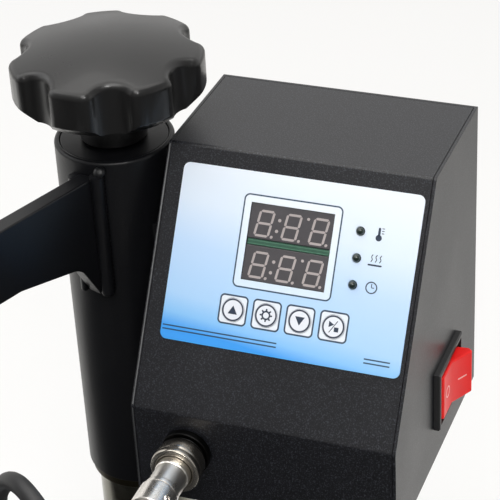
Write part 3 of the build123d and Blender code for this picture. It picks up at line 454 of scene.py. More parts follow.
# Pad: a sheet of soft silicone sponge glued to the table, a little crowned, with rounded
# corners and sides that pull in slightly. It is dark grey, dusty and slightly pitted.
silicone, surface, place = start_finish("silicone_sponge")
pits = place.node("ShaderNodeTexVoronoi", {}, {"Vector": place, "Scale": 1400.0})
dust = place.noise(16.0, 6.0)
wear = place.noise(240.0, 3.0)
set_finish(surface, place,
           (dust * 0.75 + wear * 0.25).held().dye((0.052, 0.052, 0.050), (0.115, 0.113, 0.106)),
           (0.62 + (dust - 0.5) * 0.3).held(), pits * 0.7 + wear * 0.6,
           depth=0.00010, strength=0.4)
low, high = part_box("silicone_pad")
middle = [(low[axis] + high[axis]) / 2 for axis in range(3)]
size = [high[axis] - low[axis] for axis in range(3)]
sides_in, crown_room, corner_radius = 0.001, 0.0006, 0.011
bpy.ops.object.select_all(action="DESELECT")
bpy.ops.mesh.primitive_cube_add(
    size=1, location=middle,
    scale=(size[0] - sides_in, size[1] - sides_in, size[2] - crown_room))
pad = bpy.context.object
pad.name = "silicone_pad_crowned"
put(pad, pad.matrix_world.copy())
bpy.ops.object.mode_set(mode="EDIT")
bpy.ops.mesh.select_mode(type="EDGE")
bpy.ops.mesh.select_all(action="DESELECT")
bpy.ops.object.mode_set(mode="OBJECT")
for edge in pad.data.edges:
    first, second = (pad.data.vertices[index].co for index in edge.vertices)
    upright = abs(first.z - second.z) > size[2] / 2
    edge.select = upright
bpy.ops.object.mode_set(mode="EDIT")
bpy.ops.mesh.bevel(offset=corner_radius, segments=8, affect="EDGES")
bpy.ops.mesh.select_mode(type="FACE")
bpy.ops.mesh.select_all(action="DESELECT")
bpy.ops.object.mode_set(mode="OBJECT")
top = max(pad.data.polygons, key=lambda face: face.center.z)
top.select = True
bpy.ops.object.mode_set(mode="EDIT")
# The top face is drawn in again and again, and raised a little less each time: the crown.
for step, rise in ((0.0035, 0.00012), (0.005, 0.00008)):
    bpy.ops.mesh.inset(thickness=step)
    bpy.ops.transform.translate(value=(0, 0, rise))
for drawn_in, rise in ((0.93, 0.00006), (0.85, 0.00003), (0.7, 0.00001)):
    bpy.ops.mesh.inset(thickness=0.0001)
    bpy.ops.transform.resize(
        value=(drawn_in, drawn_in, 1), center_override=(middle[0], middle[1], 0))
    bpy.ops.transform.translate(value=(0, 0, rise))
bpy.ops.object.mode_set(mode="OBJECT")
bevelled(pad, 0.0011, 3, 40)
hand_over(pad, silicone, "base", "pad_silicone", "silicone_pad")


# Sleeve: a steel tube that turns and slides on the post, closed by a cap at the top, with
# oily bronze bushes pressed into it. Satin black coat, with the thrust washer under the cap.
sleeve_coat = powder_coat(
    "sleeve_coat", (0.0048, 0.0050, 0.0062), (0.020, 0.021, 0.025), grains=0.20, rough=0.36,
    grain_size=0.0006, sheen=0.30)
softened("sleeve_tube", 0.0009, sleeve_coat, 3)
softened("sleeve_cap", 0.0008, sleeve_coat, 3)
oily_bronze = plated("oily_bronze", (0.075, 0.066, 0.042), 0.42, 40.0)
softened("arm_bushes", 0.0005, oily_bronze)
softened("thrust_washer", 0.0002, zinc)


# Height screw and star knob: a steel screw with a collar, a black hub, and a knob of black
# moulded plastic with seven finger notches and a shallow crown, polished by hands.
screw_steel = plated("screw_steel", (0.45, 0.45, 0.46), 0.30)
softened("adjusting_screw", 0.0004, screw_steel)
hub_black = moulded("hub_black", (0.004, 0.004, 0.0045), 0.34)
softened("knob_hub", 0.0006, hub_black)
knob_plastic, surface, place = start_finish("knob_plastic")
fine = place.noise(1500.0, 1.0)
handled = place.noise(40.0, 5.0)
black, rubbed = (0.0050, 0.0050, 0.0052), (0.0115, 0.0112, 0.0112)
set_finish(surface, place, (handled * 0.6 + fine * 0.3).held().dye(black, rubbed),
           (0.31 + (handled - 0.5) * 0.20).held(), fine, depth=0.00004, strength=0.25)
surface.inputs["Specular IOR Level"].default_value = 0.42
surface.inputs["Coat Weight"].default_value = 0.13
surface.inputs["Coat Roughness"].default_value = 0.09
softened("knob", 0, knob_plastic)


# Arm: a flat steel plate that stands beside the sleeve and the head's guide tube, welded to
# both with a wide bead down each side. Cut by laser, edges rounded, coated with the sleeve.
softened("arm_plate", 0.0009, sleeve_coat, 3)
softened("arm_welds", 0.0008, sleeve_coat, 3)
arm_bead_radius = 0.00285
for name, x, y, low, high in (
    ("sleeve_right", 0.0113, 0.08836, 0.2843, 0.3362),
    ("sleeve_left", 0.0021, 0.08624, 0.2900, 0.3340),
    ("guide_right", 0.0113, -0.05539, 0.2900, 0.3298),
    ("guide_left", 0.0021, -0.05306, 0.2900, 0.3298),
):
    weld_run("weld_" + name, (x, y, low), (x, y, high), arm_bead_radius, sleeve_coat,
             "arm", "frame_black")
# The blob where the welder stopped, at the top of the bead that faces the camera.
crater = turned("weld_crater", [
    (-0.0014, 0.0022), (-0.0006, 0.0023), (0.0000, 0.0020), (0.0004, 0.0013), (0.0005, 0.0005)], 24)
put(crater, along((0.0121, 0.0894, 0.3366), (0.0163, 0.0826, 0.3434)))
bevelled(crater, 0)
bpy.ops.object.shade_smooth()
hand_over(crater, sleeve_coat, "arm", "frame_black")
softened("head_guide", 0.0009, sleeve_coat, 3)
softened("handle_bracket", 0.0011, sleeve_coat, 3)
softened("pivot_pin", 0.0005, zinc)
softened("box_bracket", 0.0010, sleeve_coat, 3)


# Press head: a ground plunger with a flange bolted to the heating platen, an element of
# steel tube pressed into the cast aluminium, mineral wool over it, and a painted cover.
softened("plunger", 0.0005, steel)
softened("plunger_pin", 0.0004, zinc)
softened("head_flange", 0.0008, zinc)
softened("head_bolts", 0.0004, zinc)
cover_coat = powder_coat(
    "cover_coat", (0.0125, 0.0128, 0.0140), (0.075, 0.076, 0.080), grains=0.55, rough=0.46,
    grain_size=0.00055)
softened("heater_cover", 0.0007, cover_coat, 2)
softened("cover_screws", 0.0003, zinc)
softened("cable_gland", 0.0005, black_plastic)
wool, surface, place = start_finish("mineral_wool")
tangle = place.noise(900.0, 6.0, (1.0, 0.35, 1.0))
clump = place.noise(70.0, 4.0)
set_finish(surface, place,
           (tangle * 0.6 + clump * 0.5).held().dye((0.42, 0.37, 0.26), (0.78, 0.74, 0.62)),
           0.95, tangle, depth=0.0006, strength=0.8)
softened("insulation", 0.0015, wool)
element_steel = plated("element_steel", (0.34, 0.30, 0.27), 0.42)
softened("heating_element", 0, element_steel)
aluminium = plated("cast_aluminium", (0.74, 0.745, 0.75), 0.36, smear=22.0,
                   streak=(0.2, 1.0, 1.0), depth=0.00005, scale=600.0)
softened("heating_platen", 0.0008, aluminium)


# Handle: a forged hub on the pivot pin with the link's fork, a bent bar, and a ribbed black
# rubber grip pushed over its end.
softened("handle_hub", 0.0010, sleeve_coat, 3)
softened("handle_bar", 0.0006, sleeve_coat)
softened("link_pin", 0.0004, zinc)
softened("toggle_link", 0.0007, zinc)
softened("handle_grip", 0, black_rubber)


# Control box: a folded front wrap over a folded body with its sides and back, both of 1.2 mm
# steel with a textured black powder coat, held by small screws.
box_coat = powder_coat(
    "box_coat", (0.0052, 0.0056, 0.0076), (0.044, 0.047, 0.058), grains=0.80, rough=0.36,
    grain_size=0.00075)
softened("box_wrap", 0.0003, box_coat, 2)
softened("box_body", 0.0005, box_coat, 3)
softened("box_screws", 0.0003, zinc)


# Label: a printed polyester film glued to the slope, going from nearly white at the top to
# clear blue at the foot, with a frame round the displays, a square round each key and a
# double line at the foot. The words of such a label are left out.
def hue(red, green, blue):
    """A colour written as it is seen on a screen, 0 to 255 a part."""
    parts = (red, green, blue)
    return tuple(((part / 255 + 0.055) / 1.055) ** 2.4 if part > 10 else part / 3294.6
                 for part in parts)


# The box is turned by 20 degrees about the upright, and its slope falls from the top crease
# (at the box's corner) by slope_drop while it comes forward by slope_out.
box_corner = Vector((0.12288, 0.146637, 0.345))
box_turn = math.radians(20)
slope_out, slope_drop = 0.0523, 0.084
box_place = Matrix.Translation(box_corner) @ Matrix.Rotation(box_turn, 4, "Z")
slope_lean = math.atan2(slope_drop, slope_out)
slope_place = box_place @ Matrix.Rotation(slope_lean, 4, "X")


def on_slope(place):
    """How far a place is from the panel's right edge and down from its top crease, in mm."""
    laid = place.node("ShaderNodeMapping", {"vector_type": "TEXTURE"}, {
        "Vector": place, "Location": tuple(box_corner), "Rotation": (slope_lean, 0, box_turn)})
    parts = laid.node("ShaderNodeSeparateXYZ", {}, {"Vector": laid})
    right = Wire(place.tree, parts.socket.node.outputs["X"]) * -1000
    down = Wire(place.tree, parts.socket.node.outputs["Y"]) * -1000
    return right, down


def to_box(right, down, middle, half_width, half_height, corner):
    """The distance to a rounded box's outline on the panel, below nothing inside it."""
    across = (right - middle[0]).size() - (half_width - corner)
    along_slope = (down - middle[1]).size() - (half_height - corner)
    out = (across.most(0) * across.most(0) + along_slope.most(0) * along_slope.most(0))
    return out.sum("SQRT", out) + across.most(along_slope).least(0) - corner


def line(distance, width, softness=0.12):
    """1 on a printed line as wide as given, and 0 beside it."""
    return ((width / 2 - distance.size()) / softness + 0.5).held()


def filled(distance, softness=0.12):
    """1 inside a printed shape, and 0 outside it."""
    return (0.5 - distance / softness).held()


# All of these are in mm on the slope: from the panel's right edge, or down from its crease.
label_from_right, label_from_crease, label_width, label_height = 2.8, 6.7, 91.7, 65.4
displays_middle = (50.65, 31.95)
key_row = 57.6
key_middles = {"key_start": 29.3, "key_down": 42.1, "key_set": 54.9, "key_up": 67.7}
label, surface, place = start_finish("printed_label")
right, down = on_slope(place)
fall = ((down - label_from_crease) / label_height).held()
left = ((right - label_from_right) / label_width).held()
cloud = place.noise(14.0, 1.0)
shade = fall + (left - 0.5) * 0.16 + (cloud - 0.5) * 0.05
field = shade.node("ShaderNodeValToRGB", {"stops": (
    (0.0, hue(232, 240, 250)), (0.28, hue(220, 234, 250)), (0.52, hue(190, 218, 249)),
    (0.81, hue(172, 211, 249)), (0.92, hue(136, 195, 246)), (1.0, hue(58, 156, 240)),
)}, {"Fac": shade.held()})
ink = hue(40, 66, 92)
frame_line = to_box(right, down, displays_middle, 18.6, 16.9, 1.9)
colour = (filled(frame_line) * 0.55).dye(field, hue(240, 247, 250))
colour = line(frame_line, 0.55).dye(colour, ink)
for middle in key_middles.values():
    square = to_box(right, down, (middle, key_row), 5.2, 5.2, 1.4)
    colour = filled(square).dye(colour, hue(232, 238, 246))
    colour = line(square, 0.62).dye(colour, hue(44, 64, 88))
for row in (67.0, 68.4):
    for start, end in ((6.8, 16.5), (49.5, 93.9)):
        stripe = to_box(right, down, ((start + end) / 2, row), (end - start) / 2, 0.25, 0.1)
        colour = filled(stripe, 0.15).dye(colour, ink)
grain = place.noise(1800.0, 1.0)
set_finish(surface, place, colour, 0.46 + (grain - 0.5) * 0.08, grain,
           depth=0.00001, strength=0.2)
softened("panel_label", 0.00012, label, 1)


ink_thickness = 0.00004


def thicken(rise):
    """Gives the flat face that is being edited its thickness, and ends the editing."""
    bpy.ops.mesh.extrude_region_move(TRANSFORM_OT_translate={"value": (0, 0, rise)})
    bpy.ops.mesh.select_all(action="SELECT")
    bpy.ops.mesh.normals_make_consistent(inside=False)
    bpy.ops.object.mode_set(mode="OBJECT")


def flat_mark(name, sides, radius, turn=0.0, hole=0.0):
    """A thin printed disc with that many sides, with a hole where it is a ring."""
    bpy.ops.object.select_all(action="DESELECT")
    bpy.ops.mesh.primitive_circle_add(
        vertices=sides, radius=radius, fill_type="NGON", rotation=(0, 0, turn))
    mark = bpy.context.object
    mark.name = name
    bpy.ops.object.mode_set(mode="EDIT")
    bpy.ops.mesh.select_mode(type="FACE")
    bpy.ops.mesh.select_all(action="SELECT")
    if hole:
        bpy.ops.mesh.inset(thickness=(radius - hole) * math.cos(math.pi / sides))
        bpy.ops.mesh.delete(type="FACE")
        bpy.ops.mesh.select_all(action="SELECT")
    thicken(ink_thickness)
    return put(mark, mark.matrix_world.copy())


def flat_bar(name, length, width, corner, steps, rise):
    """A thin bar along X with its corners cut off in one step, or rounded in several."""
    bpy.ops.object.select_all(action="DESELECT")
    bpy.ops.mesh.primitive_plane_add(size=1)
    bar = bpy.context.object
    bar.name = name
    bpy.ops.object.mode_set(mode="EDIT")
    bpy.ops.mesh.select_all(action="SELECT")
    bpy.ops.transform.resize(value=(length, width, 1))
    bpy.ops.mesh.bevel(offset=corner, segments=steps, affect="VERTICES")
    bpy.ops.mesh.select_all(action="SELECT")
    thicken(rise)
    return bar


def between(bar, start, end):
    """Lays a bar so that it runs between two places on the panel's plane, in metres."""
    way = Vector(end) - Vector(start)
    middle = (Vector(start) + Vector(end)) / 2
    turn = Matrix.Rotation(math.atan2(way.y, way.x), 4, "Z")
    return put(bar, Matrix.Translation((middle.x, middle.y, 0)) @ turn)


def strip(name, start, end, width):
    """A thin printed line between two places on the panel's plane, in metres."""
    length = (Vector(end) - Vector(start)).length
    return between(flat_bar(name, length, width, width * 0.4, 3, ink_thickness), start, end)


# Edge highlight: the left side of the body stands in front of the wrap's flange, and a pale grey
# line of bright metal is painted down the panel and lip along its front edge, as a painted highlight where
# that edge catches the light.
def at_panel(piece, right, down, out):
    """Lays a shape on the panel, in mm from its right edge, its top crease and its plane."""
    return put(piece, slope_place @ Matrix.Translation((-right / 1000, -down / 1000, out / 1000)))


# Painted highlight: these grey metal strips stand in for the light the edge catches.
edge_highlight_grey = plated("painted_edge_highlight", (0.30, 0.305, 0.31), 0.45, 60.0)
highlight_line_width = 0.00045
upright_to_front = Matrix.Rotation(math.radians(90), 4, "X")
slope_highlight_line = strip("slope_highlight_line", (0, -0.0488), (0, 0.0485), highlight_line_width)
at_panel(slope_highlight_line, 101.35, 49.4, 0.0)
lip_highlight_line = strip("lip_highlight_line", (0, -0.0185), (0, 0.0187), highlight_line_width)
put(lip_highlight_line, box_place @ Matrix.Translation((-0.10135, -slope_out, -0.1034)) @ upright_to_front)
hand_over(joined("box_edge_highlight", [slope_highlight_line, lip_highlight_line]), edge_highlight_grey, "arm", "frame_black")


# Small pictures printed beside the lamps in place of words: a thermometer for the heat, three
# waves over a plate for the output, and a clock for the time.
dark_ink = moulded("printing_ink", (0.018, 0.030, 0.055), 0.42, grain=0.0003, depth=0.00001)
picture_column, film_face, dial_row = 17.6, 0.5, 41.7
marks = [
    at_panel(flat_mark("bulb", 24, 0.00115), picture_column, 23.9, film_face),
    at_panel(strip("stem", (0, 0), (0, 0.0034), 0.00085), picture_column, 23.6, film_face),
]
for count in range(3):
    tick = strip("tick", (0.0009, 0), (0.0018, 0), 0.00028)
    marks.append(at_panel(tick, picture_column, 20.4 + 0.9 * count, film_face))
for count in range(3):
    for start, end in (
        ((0, 0), (0.0005, 0.0009)),
        ((0.0005, 0.0009), (0, 0.0018)),
        ((0, 0.0018), (0.0005, 0.0027)),
    ):
        wave = strip("wave", start, end, 0.00032)
        marks.append(at_panel(wave, 19.2 - 1.6 * count, 32.6, film_face))
for mark, row in (
    (strip("plate", (-0.0026, 0), (0.0026, 0), 0.0006), 33.7),
    (flat_mark("dial", 36, 0.0022, hole=0.00178), dial_row),
    (strip("hour", (0, 0), (0, 0.0014), 0.00032), dial_row),
    (strip("minute", (0, 0), (0.0010, 0), 0.00032), dial_row),
):
    marks.append(at_panel(mark, picture_column, row, film_face))
hand_over(joined("lamp_pictures", marks), dark_ink, "arm", "label_print")


# Displays: two rows of three digits behind dark grey windows, at rest, so the segments show
# pale grey, and a strip of the green circuit board between them.
display_face, surface, place = start_finish("display_face")
fine = place.noise(900.0, 1.0)
cloud = place.noise(60.0, 2.0)
set_finish(surface, place, (cloud * 0.7 + fine * 0.3).held().dye(hue(66, 64, 67), hue(84, 82, 85)),
           0.30 + (fine - 0.5) * 0.08, fine, depth=0.00001, strength=0.2)
softened("display_modules", 0.00025, display_face, 2)
segment_grey = moulded("segment_grey", hue(158, 150, 149), 0.35, grain=0.0003, depth=0.00001)
# A digit: seven bars between six corners, each pointed at both ends, with a point at its foot.
half, top_of = 0.0026, 0.0045
bar_width, bar_cut, bar_gap, bar_rise = 0.00085, 0.00040, 0.0003, 0.00005
corners = [
    (-half, top_of), (half, top_of), (-half, 0), (half, 0), (-half, -top_of), (half, -top_of)]
bars = []
for first, second in ((0, 1), (2, 3), (4, 5), (0, 2), (1, 3), (2, 4), (3, 5)):
    start, end = corners[first], corners[second]
    length = (Vector(end) - Vector(start)).length - bar_gap
    bar = flat_bar("segment", length, bar_width, bar_cut, 1, bar_rise)
    bars.append(between(bar, start, end))
dot_radius, colon_radius = 0.00055, 0.00062
dot = flat_mark("point", 12, dot_radius)
bars.append(put(dot, Matrix.Translation((half + 0.0014, -top_of, 0))))
digit = joined("digit", bars)
# The digits lean to the right by 9 degrees.
digit_lean = math.tan(math.radians(9))
lean = Matrix.Identity(4)
lean[0][1] = digit_lean
digit.data.transform(lean)
digits, window_face = [], 0.1
for down in (24.95, 40.05):
    for right in (60.7, 50.3, 39.9):
        copy = digit.copy()
        copy.data = digit.data.copy()
        bpy.context.collection.objects.link(copy)
        digits.append(at_panel(copy, right, down, window_face))
    for up in (0.0019, -0.0021):
        spot = flat_mark("colon", 12, colon_radius)
        put(spot, Matrix.Translation((up * digit_lean, up, 0)))
        digits.append(at_panel(spot, 55.4, down, window_face))
    upper_point = flat_mark("upper_point", 12, dot_radius)
    digits.append(at_panel(upper_point, 44.4, down - 3.9, window_face))
bpy.data.objects.remove(digit)
hand_over(joined("display_digits", digits), segment_grey, "arm", "display")


# The strip of circuit board that shows between the two displays, pale green under its lacquer,
# with the fine copper lines that run along it.
strip_green, surface, place = start_finish("board_strip")
right, down = on_slope(place)
track = line(down - 31.4, 0.3).most(line(down - 32.6, 0.3))
fine = place.noise(500.0, 3.0)
set_finish(surface, place,
           (track * 0.6 + fine * 0.4).held().dye(hue(40, 78, 62), hue(84, 124, 104)),
           0.32, fine, depth=0.00002, strength=0.2)
board_strip = flat_bar("board_strip", 0.0314, 0.0022, corner=0.0003, steps=2, rise=-0.0012)
bevelled(at_panel(board_strip, *displays_middle, -0.25), 0.0001, 1)
hand_over(board_strip, strip_green, "arm", "board")


# Indicator lamps: three unlit round lamps with a domed dark green lens, proud of the label.
lens, surface, place = start_finish("lamp_lens")
fine = place.noise(1500.0, 1.0)
set_finish(surface, place, fine.dye(hue(16, 27, 24), hue(28, 44, 39)),
           0.16 + (fine - 0.5) * 0.06, fine, depth=0.00001, strength=0.15)
surface.inputs["Coat Weight"].default_value = 0.4
softened("indicator_lamps", 0, lens)


# Keys: four round caps that stand a little proud of the label, white with a dark ring, each
# with a plain mark: start and stop, down, set (a gear wheel), and up.
def key_finish(name, middle):
    """The white cap's finish, with its ring drawn round the key's middle."""
    material, surface, place = start_finish(name)
    right, down = on_slope(place)
    out = (right - middle) * (right - middle) + (down - key_row) * (down - key_row)
    distance = out.sum("SQRT", out)
    ring_radius, ring_width = 3.85, 0.62
    colour = line(distance - ring_radius, ring_width, 0.15).dye(hue(232, 236, 244), hue(46, 56, 74))
    fine = place.noise(1500.0, 1.0)
    set_finish(surface, place, colour, 0.34 + (fine - 0.5) * 0.08, fine,
               depth=0.00001, strength=0.2)
    return material


for node, middle in key_middles.items():
    softened(node, 0.00012, key_finish(node + "_white", middle), 2)
key_top, triangle_radius = 0.7, 0.0021
up_mark = flat_mark("up_triangle", 3, triangle_radius)
at_panel(up_mark, key_middles["key_up"], 58.1, key_top)
down_mark = flat_mark("down_triangle", 3, triangle_radius, math.pi)
at_panel(down_mark, key_middles["key_down"], 57.1, key_top)
hand_over(up_mark, dark_ink, "up_button", "key")
hand_over(down_mark, dark_ink, "down_button", "key")
set_place = (key_middles["key_set"], key_row, key_top)
set_parts = [at_panel(flat_mark("set_ring", 24, 0.0017, hole=0.0011), *set_place)]
for count in range(8):
    tooth = strip("tooth", (0.0016, 0), (0.0024, 0), 0.0006)
    tooth.data.transform(Matrix.Rotation(math.radians(45 * count), 4, "Z"))
    set_parts.append(at_panel(tooth, *set_place))
hand_over(joined("set_wheel", set_parts), dark_ink, "set_button", "key")
divider = strip("divider", (-0.0014, -0.0022), (0.0014, 0.0022), 0.00028)
start_parts = [
    at_panel(flat_mark("start_triangle", 3, 0.0013, -math.pi / 2), 30.4, 56.8, key_top),
    at_panel(flat_mark("stop_square", 4, 0.00115, math.pi / 4), 28.1, 58.5, key_top),
    at_panel(divider, key_middles["key_start"], key_row, key_top),
]
hand_over(joined("start_stop_mark", start_parts), dark_ink, "start_button", "key")


# Rocker switch: a black nylon housing snapped into the right side, and a glossy red rocker
# with a ring at its off end and a bar at its on end, moulded in and filled white.
switch_black = moulded("switch_nylon", (0.016, 0.016, 0.017), 0.38)
softened("switch_housing", 0.0004, switch_black, 3)
rocker_red, surface, place = start_finish("rocker_red")
fine = place.noise(1200.0, 1.0)
flow = place.noise(70.0, 2.0)
set_finish(surface, place, (flow * 0.8 + fine * 0.2).held().dye(hue(240, 26, 28), hue(255, 38, 34)),
           0.30 + (flow - 0.5) * 0.08, fine, depth=0.00001, strength=0.2)
surface.inputs["Subsurface Weight"].default_value = 0.15
surface.inputs["Subsurface Radius"].default_value = (0.004, 0.0008, 0.0004)
surface.inputs["Specular IOR Level"].default_value = 0.3
softened("switch_rocker", 0.0006, rocker_red, 4)
rocker_body = body_of(frame["nodes"]["switch_rocker"])[0]
mark_white = moulded("mark_white", hue(238, 176, 172), 0.5, grain=0.0003, depth=0.00001)
# The switch is off: its off end lies along the box's side, and its on end stands out by 29 degrees.
mark_height, tip_angle = -0.0955, math.radians(-29)
to_side = Matrix.Rotation(math.radians(90), 4, "Y")
off_place = box_place @ Matrix.Translation((0.00311, 0.0050, mark_height)) @ to_side
on_place = (box_place @ Matrix.Translation((0.00578, 0.01572, mark_height))
            @ Matrix.Rotation(tip_angle, 4, "Z") @ to_side)
off_ring = put(flat_mark("off_ring", 36, 0.0024, hole=0.0019), off_place)
on_bar = put(strip("on_bar", (0, -0.0024), (0, 0.0024), 0.0006), on_place)
hand_over(joined("rocker_marks", [off_ring, on_bar]), mark_white, rocker_body,
          slot_of_node["switch_rocker"])
softened("mains_inlet", 0.0005, switch_black, 2)


# Boards: the display board with its key switches and the power board, both green, held inside
# the box and out of sight.
board_green, surface, place = start_finish("circuit_board")
tracks = place.node("ShaderNodeTexVoronoi", {"distance": "MANHATTAN"},
                    {"Vector": place, "Scale": 260.0})
fine = place.noise(800.0, 1.0)
set_finish(surface, place,
           (tracks * 0.6 + fine * 0.3).held().dye(hue(38, 84, 60), hue(104, 156, 128)),
           0.34, fine, depth=0.00002, strength=0.3)
softened("display_board", 0.0002, board_green)
softened("power_board", 0.0004, board_green)


# Socket and plug: a panel socket of blackened brass with its nut, and the cable's nickel
# plated plug screwed on it: a darker coupling ring, a bright barrel, and a collar that clamps
# the cable with two screws.
smooth_plating = {"smear": 60.0, "depth": 0.00001, "scale": 400.0, "strength": 0.06}
dark_nickel = plated("dark_nickel", (0.50, 0.465, 0.41), 0.22, **smooth_plating)
bright_nickel = plated("bright_nickel", (0.97, 0.93, 0.87), 0.29, **smooth_plating)
socket_black = plated("blackened_brass", (0.016, 0.016, 0.016), 0.40, 60.0)
softened("panel_socket", 0.0004, socket_black)


def along_plug(piece, reach):
    """Turns a piece made along Z so that it runs out of the socket, that far off the lip."""
    start = Matrix.Translation((-0.0803, -slope_out - reach, -0.0997))
    return put(piece, box_place @ start @ upright_to_front)


ring_reach, barrel_reach, clamp_reach = 0.004, 0.0129, 0.0275
ring_piece = along_plug(turned("coupling_ring", [
    (0, 0.0078), (0, 0.0083), (0.0006, 0.0088), (0.0016, 0.0092), (0.0030, 0.00935),
    (0.0054, 0.00935), (0.0060, 0.0091), (0.0066, 0.0091), (0.0071, 0.0095), (0.0084, 0.0096),
    (0.0092, 0.0093), (0.0095, 0.0085), (0.0095, 0.0074), (0.0088, 0.0068), (0.0088, 0.0060),
], 96), ring_reach)
bevelled(ring_piece, 0.0002, 2, 40)
barrel_piece = along_plug(turned("plug_barrel", [
    (0, 0.0056), (0, 0.0066), (0.0030, 0.0066), (0.0034, 0.0063), (0.0118, 0.0063),
    (0.0122, 0.0067), (0.0140, 0.0067), (0.0140, 0.0060),
], 80), barrel_reach)
bevelled(barrel_piece, 0.0002, 2, 40)
clamp_piece = along_plug(turned("plug_clamp", [
    (0, 0.0052), (0, 0.0070), (0.0005, 0.0074), (0.0105, 0.0074), (0.0110, 0.0070),
    (0.0110, 0.0056), (0.0200, 0.0054), (0.0212, 0.0048), (0.0215, 0.0034),
], 80), clamp_reach)
bevelled(clamp_piece, 0.0002, 2, 40)
screw_pieces = []
for turn in (35, 215):
    screw = turned("clamp_screw", [
        (0, 0.0012), (0, 0.0016), (0.0009, 0.0016), (0.0012, 0.0013), (0.0012, 0.0007),
        (0.0007, 0.0006)], 24)
    round_clamp = Matrix.Rotation(math.radians(turn), 4, "Z")
    put(screw, round_clamp @ Matrix.Translation((0.0066, 0, 0.0055)) @ to_side)
    screw_pieces.append(along_plug(screw, clamp_reach))
plug_bright = joined("plug_body", [barrel_piece, clamp_piece] + screw_pieces)
hand_over(ring_piece, dark_nickel, "arm", "nickel", "cable_plug")
hand_over(plug_bright, bright_nickel, "arm", "nickel", "cable_plug")


# Heater cable: a round rubber cable that leaves the plug, stands up in a loop and goes down
# into the gland on the heater cover. Black, matt, with the faint ripple of its wires.
cable_rubber = moulded("cable_rubber", (0.014, 0.014, 0.015), 0.50, grain=0.0007, depth=0.00012)
cable_radius = 0.00325
route = [
    (0.082089, 0.023945, 0.2453), (0.08722, 0.00985, 0.2453), (0.099, 0.0, 0.249),
    (0.104, -0.014, 0.261), (0.097, -0.022, 0.276), (0.083, -0.019, 0.288),
    (0.066, -0.014, 0.287), (0.050, -0.008, 0.269), (0.035, 0.003, 0.247),
    (0.028, -0.007, 0.220), (0.026, -0.014, 0.206), (0.026, -0.014, 0.183),
]


def nurbs(name, points, depth):
    """A smooth line through given points, as thick as twice the depth."""
    curve = bpy.data.curves.new(name, "CURVE")
    curve.dimensions = "3D"
    curve.resolution_u = 24
    curve.bevel_depth = depth
    curve.bevel_resolution = 7
    line_of = curve.splines.new("NURBS")
    line_of.points.add(len(points) - 1)
    for spot, place in zip(line_of.points, points):
        spot.co = (*place, 1)
    line_of.order_u = 3
    line_of.use_endpoint_u = True
    drawn = bpy.data.objects.new(name, curve)
    bpy.context.collection.objects.link(drawn)
    return drawn


centre_line = nurbs("cable_line", route, 0)
bpy.context.view_layer.update()
read = bpy.data.meshes.new_from_object(centre_line)
bpy.data.objects.remove(centre_line)
cable = nurbs("heater_cable_round", route, cable_radius)
only(cable)
bpy.ops.object.convert(target="MESH")
cable = bpy.context.object
only(cable)
bpy.ops.object.shade_smooth()
cable.data.materials.clear()
cable.data.materials.append(cable_rubber)
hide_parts("heater_cable")
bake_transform(cable, "arm", "head", start=(0.050, -0.008, 0.269), end=(0.026, -0.014, 0.200))


# Floor and light: a plain pale floor, a white world that metal and plastic reflect, large soft
# lamps above, in front and at the left, a smaller one beside the camera that draws the bright
# rims, and the camera where the photograph was taken from.
bpy.ops.object.select_all(action="DESELECT")
bpy.ops.mesh.primitive_plane_add(size=14, location=(0, 0, -0.0005))
floor = bpy.context.object
floor.name = "floor"
floor_finish, surface, place = start_finish("pale_floor")
mottle = place.noise(3.0, 3.0)
set_finish(surface, place, mottle.dye((0.90, 0.895, 0.88), (0.93, 0.925, 0.91)), 0.8)
tree = floor_finish.node_tree
rays = tree.nodes.new("ShaderNodeLightPath")
seen = Wire(tree, rays.outputs["Is Camera Ray"])
glow = seen.node("ShaderNodeEmission", {}, {"Color": (1.0, 0.996, 0.988), "Strength": 1.0})
mirrored = Wire(tree, rays.outputs["Is Glossy Ray"])
through = Wire(tree, rays.outputs["Is Transmission Ray"])
share = seen.most(through) * 0.68
painted = Wire(tree, surface.outputs["BSDF"])
both = seen.node("ShaderNodeMixShader", {}, {0: share, 1: painted, 2: glow})
# In polished faces the floor on the camera's side is dull, as the room before the machine was.
forward = place.node("ShaderNodeVectorMath", {"operation": "DOT_PRODUCT"},
                     {0: place, 1: (0.727, -0.687, 0)}, output=1)
near = ((forward + 0.16) / 0.24).held()
dull = seen.node("ShaderNodeEmission", {}, {"Color": (0.9, 0.95, 1.0), "Strength": 0.06})
both = seen.node("ShaderNodeMixShader", {}, {0: mirrored * near * 0.9, 1: both, 2: dull})
seen.feed(tree.nodes["Material Output"].inputs["Surface"], both)
floor.data.materials.append(floor_finish)

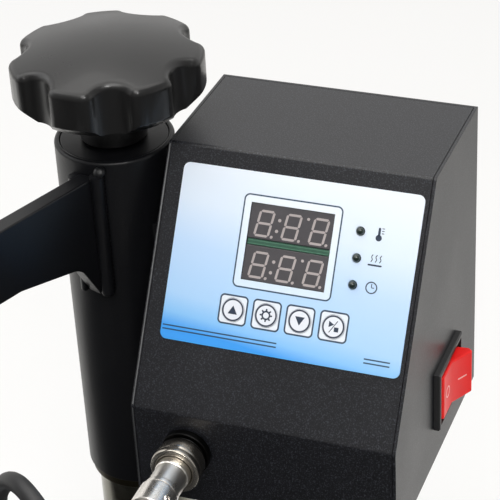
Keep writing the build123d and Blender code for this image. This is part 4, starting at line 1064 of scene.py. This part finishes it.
world = bpy.data.worlds.new("studio")
bpy.context.scene.world = world
world.use_nodes = True
tree = world.node_tree
ground = tree.nodes["Background"]
ground.inputs["Color"].default_value = (1.0, 0.99, 0.975, 1)
rays = tree.nodes.new("ShaderNodeLightPath")
seen = Wire(tree, rays.outputs["Is Camera Ray"])
mirrored = Wire(tree, rays.outputs["Is Glossy Ray"])
through = Wire(tree, rays.outputs["Is Transmission Ray"])
# The world is dimmer behind the camera, except where the camera sees it.
towards = Wire(tree, tree.nodes.new("ShaderNodeTexCoord").outputs["Generated"])
facing = towards.node("ShaderNodeVectorMath", {"operation": "DOT_PRODUCT"},
                      {0: towards, 1: (0.50, -0.70, 0.51)}, output=1)
dim = ((facing - 0.05) * 1.6).held()
strength = (0.62 + seen.most(through) * 0.38 + mirrored * 0.40) * (1 - dim * (1 - seen) * 0.72)
seen.feed(ground.inputs["Strength"], strength)

for name, place, turn, size, power, tint in (
    ("lamp_above", (-0.15, 0.05, 1.60), (0, 0, 0), 1.5, 12.0, (1.0, 0.985, 0.96)),
    ("lamp_front", (0.56, -0.80, 1.74), (35, 0, 35), 1.0, 11.5, (1.0, 0.99, 0.975)),
    ("lamp_camera", (0.85, -0.50, 1.24), (48, 0, 55), 0.22, 4.2, (1.0, 0.99, 0.98)),
    ("lamp_left", (-1.25, -0.75, 1.45), (48, 0, -59), 1.5, 9.0, (0.98, 0.99, 1.0)),
):
    light = bpy.data.lights.new(name, "AREA")
    light.size = size
    light.energy = power
    light.color = tint
    lamp = bpy.data.objects.new(name, light)
    lamp.location = place
    lamp.rotation_euler = [math.radians(part) for part in turn]
    bpy.context.collection.objects.link(lamp)

view = bpy.data.cameras.new("photograph")
view.lens = 139.57
view.sensor_width = 36
view.clip_start = 0.02
view.clip_end = 60
camera = bpy.data.objects.new("photograph", view)
camera.location = (0.46951, -0.33325, 0.6869)
camera.rotation_euler = [math.radians(part) for part in (57.9855, 2.7685, 40.6051)]
bpy.context.collection.objects.link(camera)
bpy.context.scene.camera = camera
bpy.context.scene.view_settings.view_transform = "Standard"
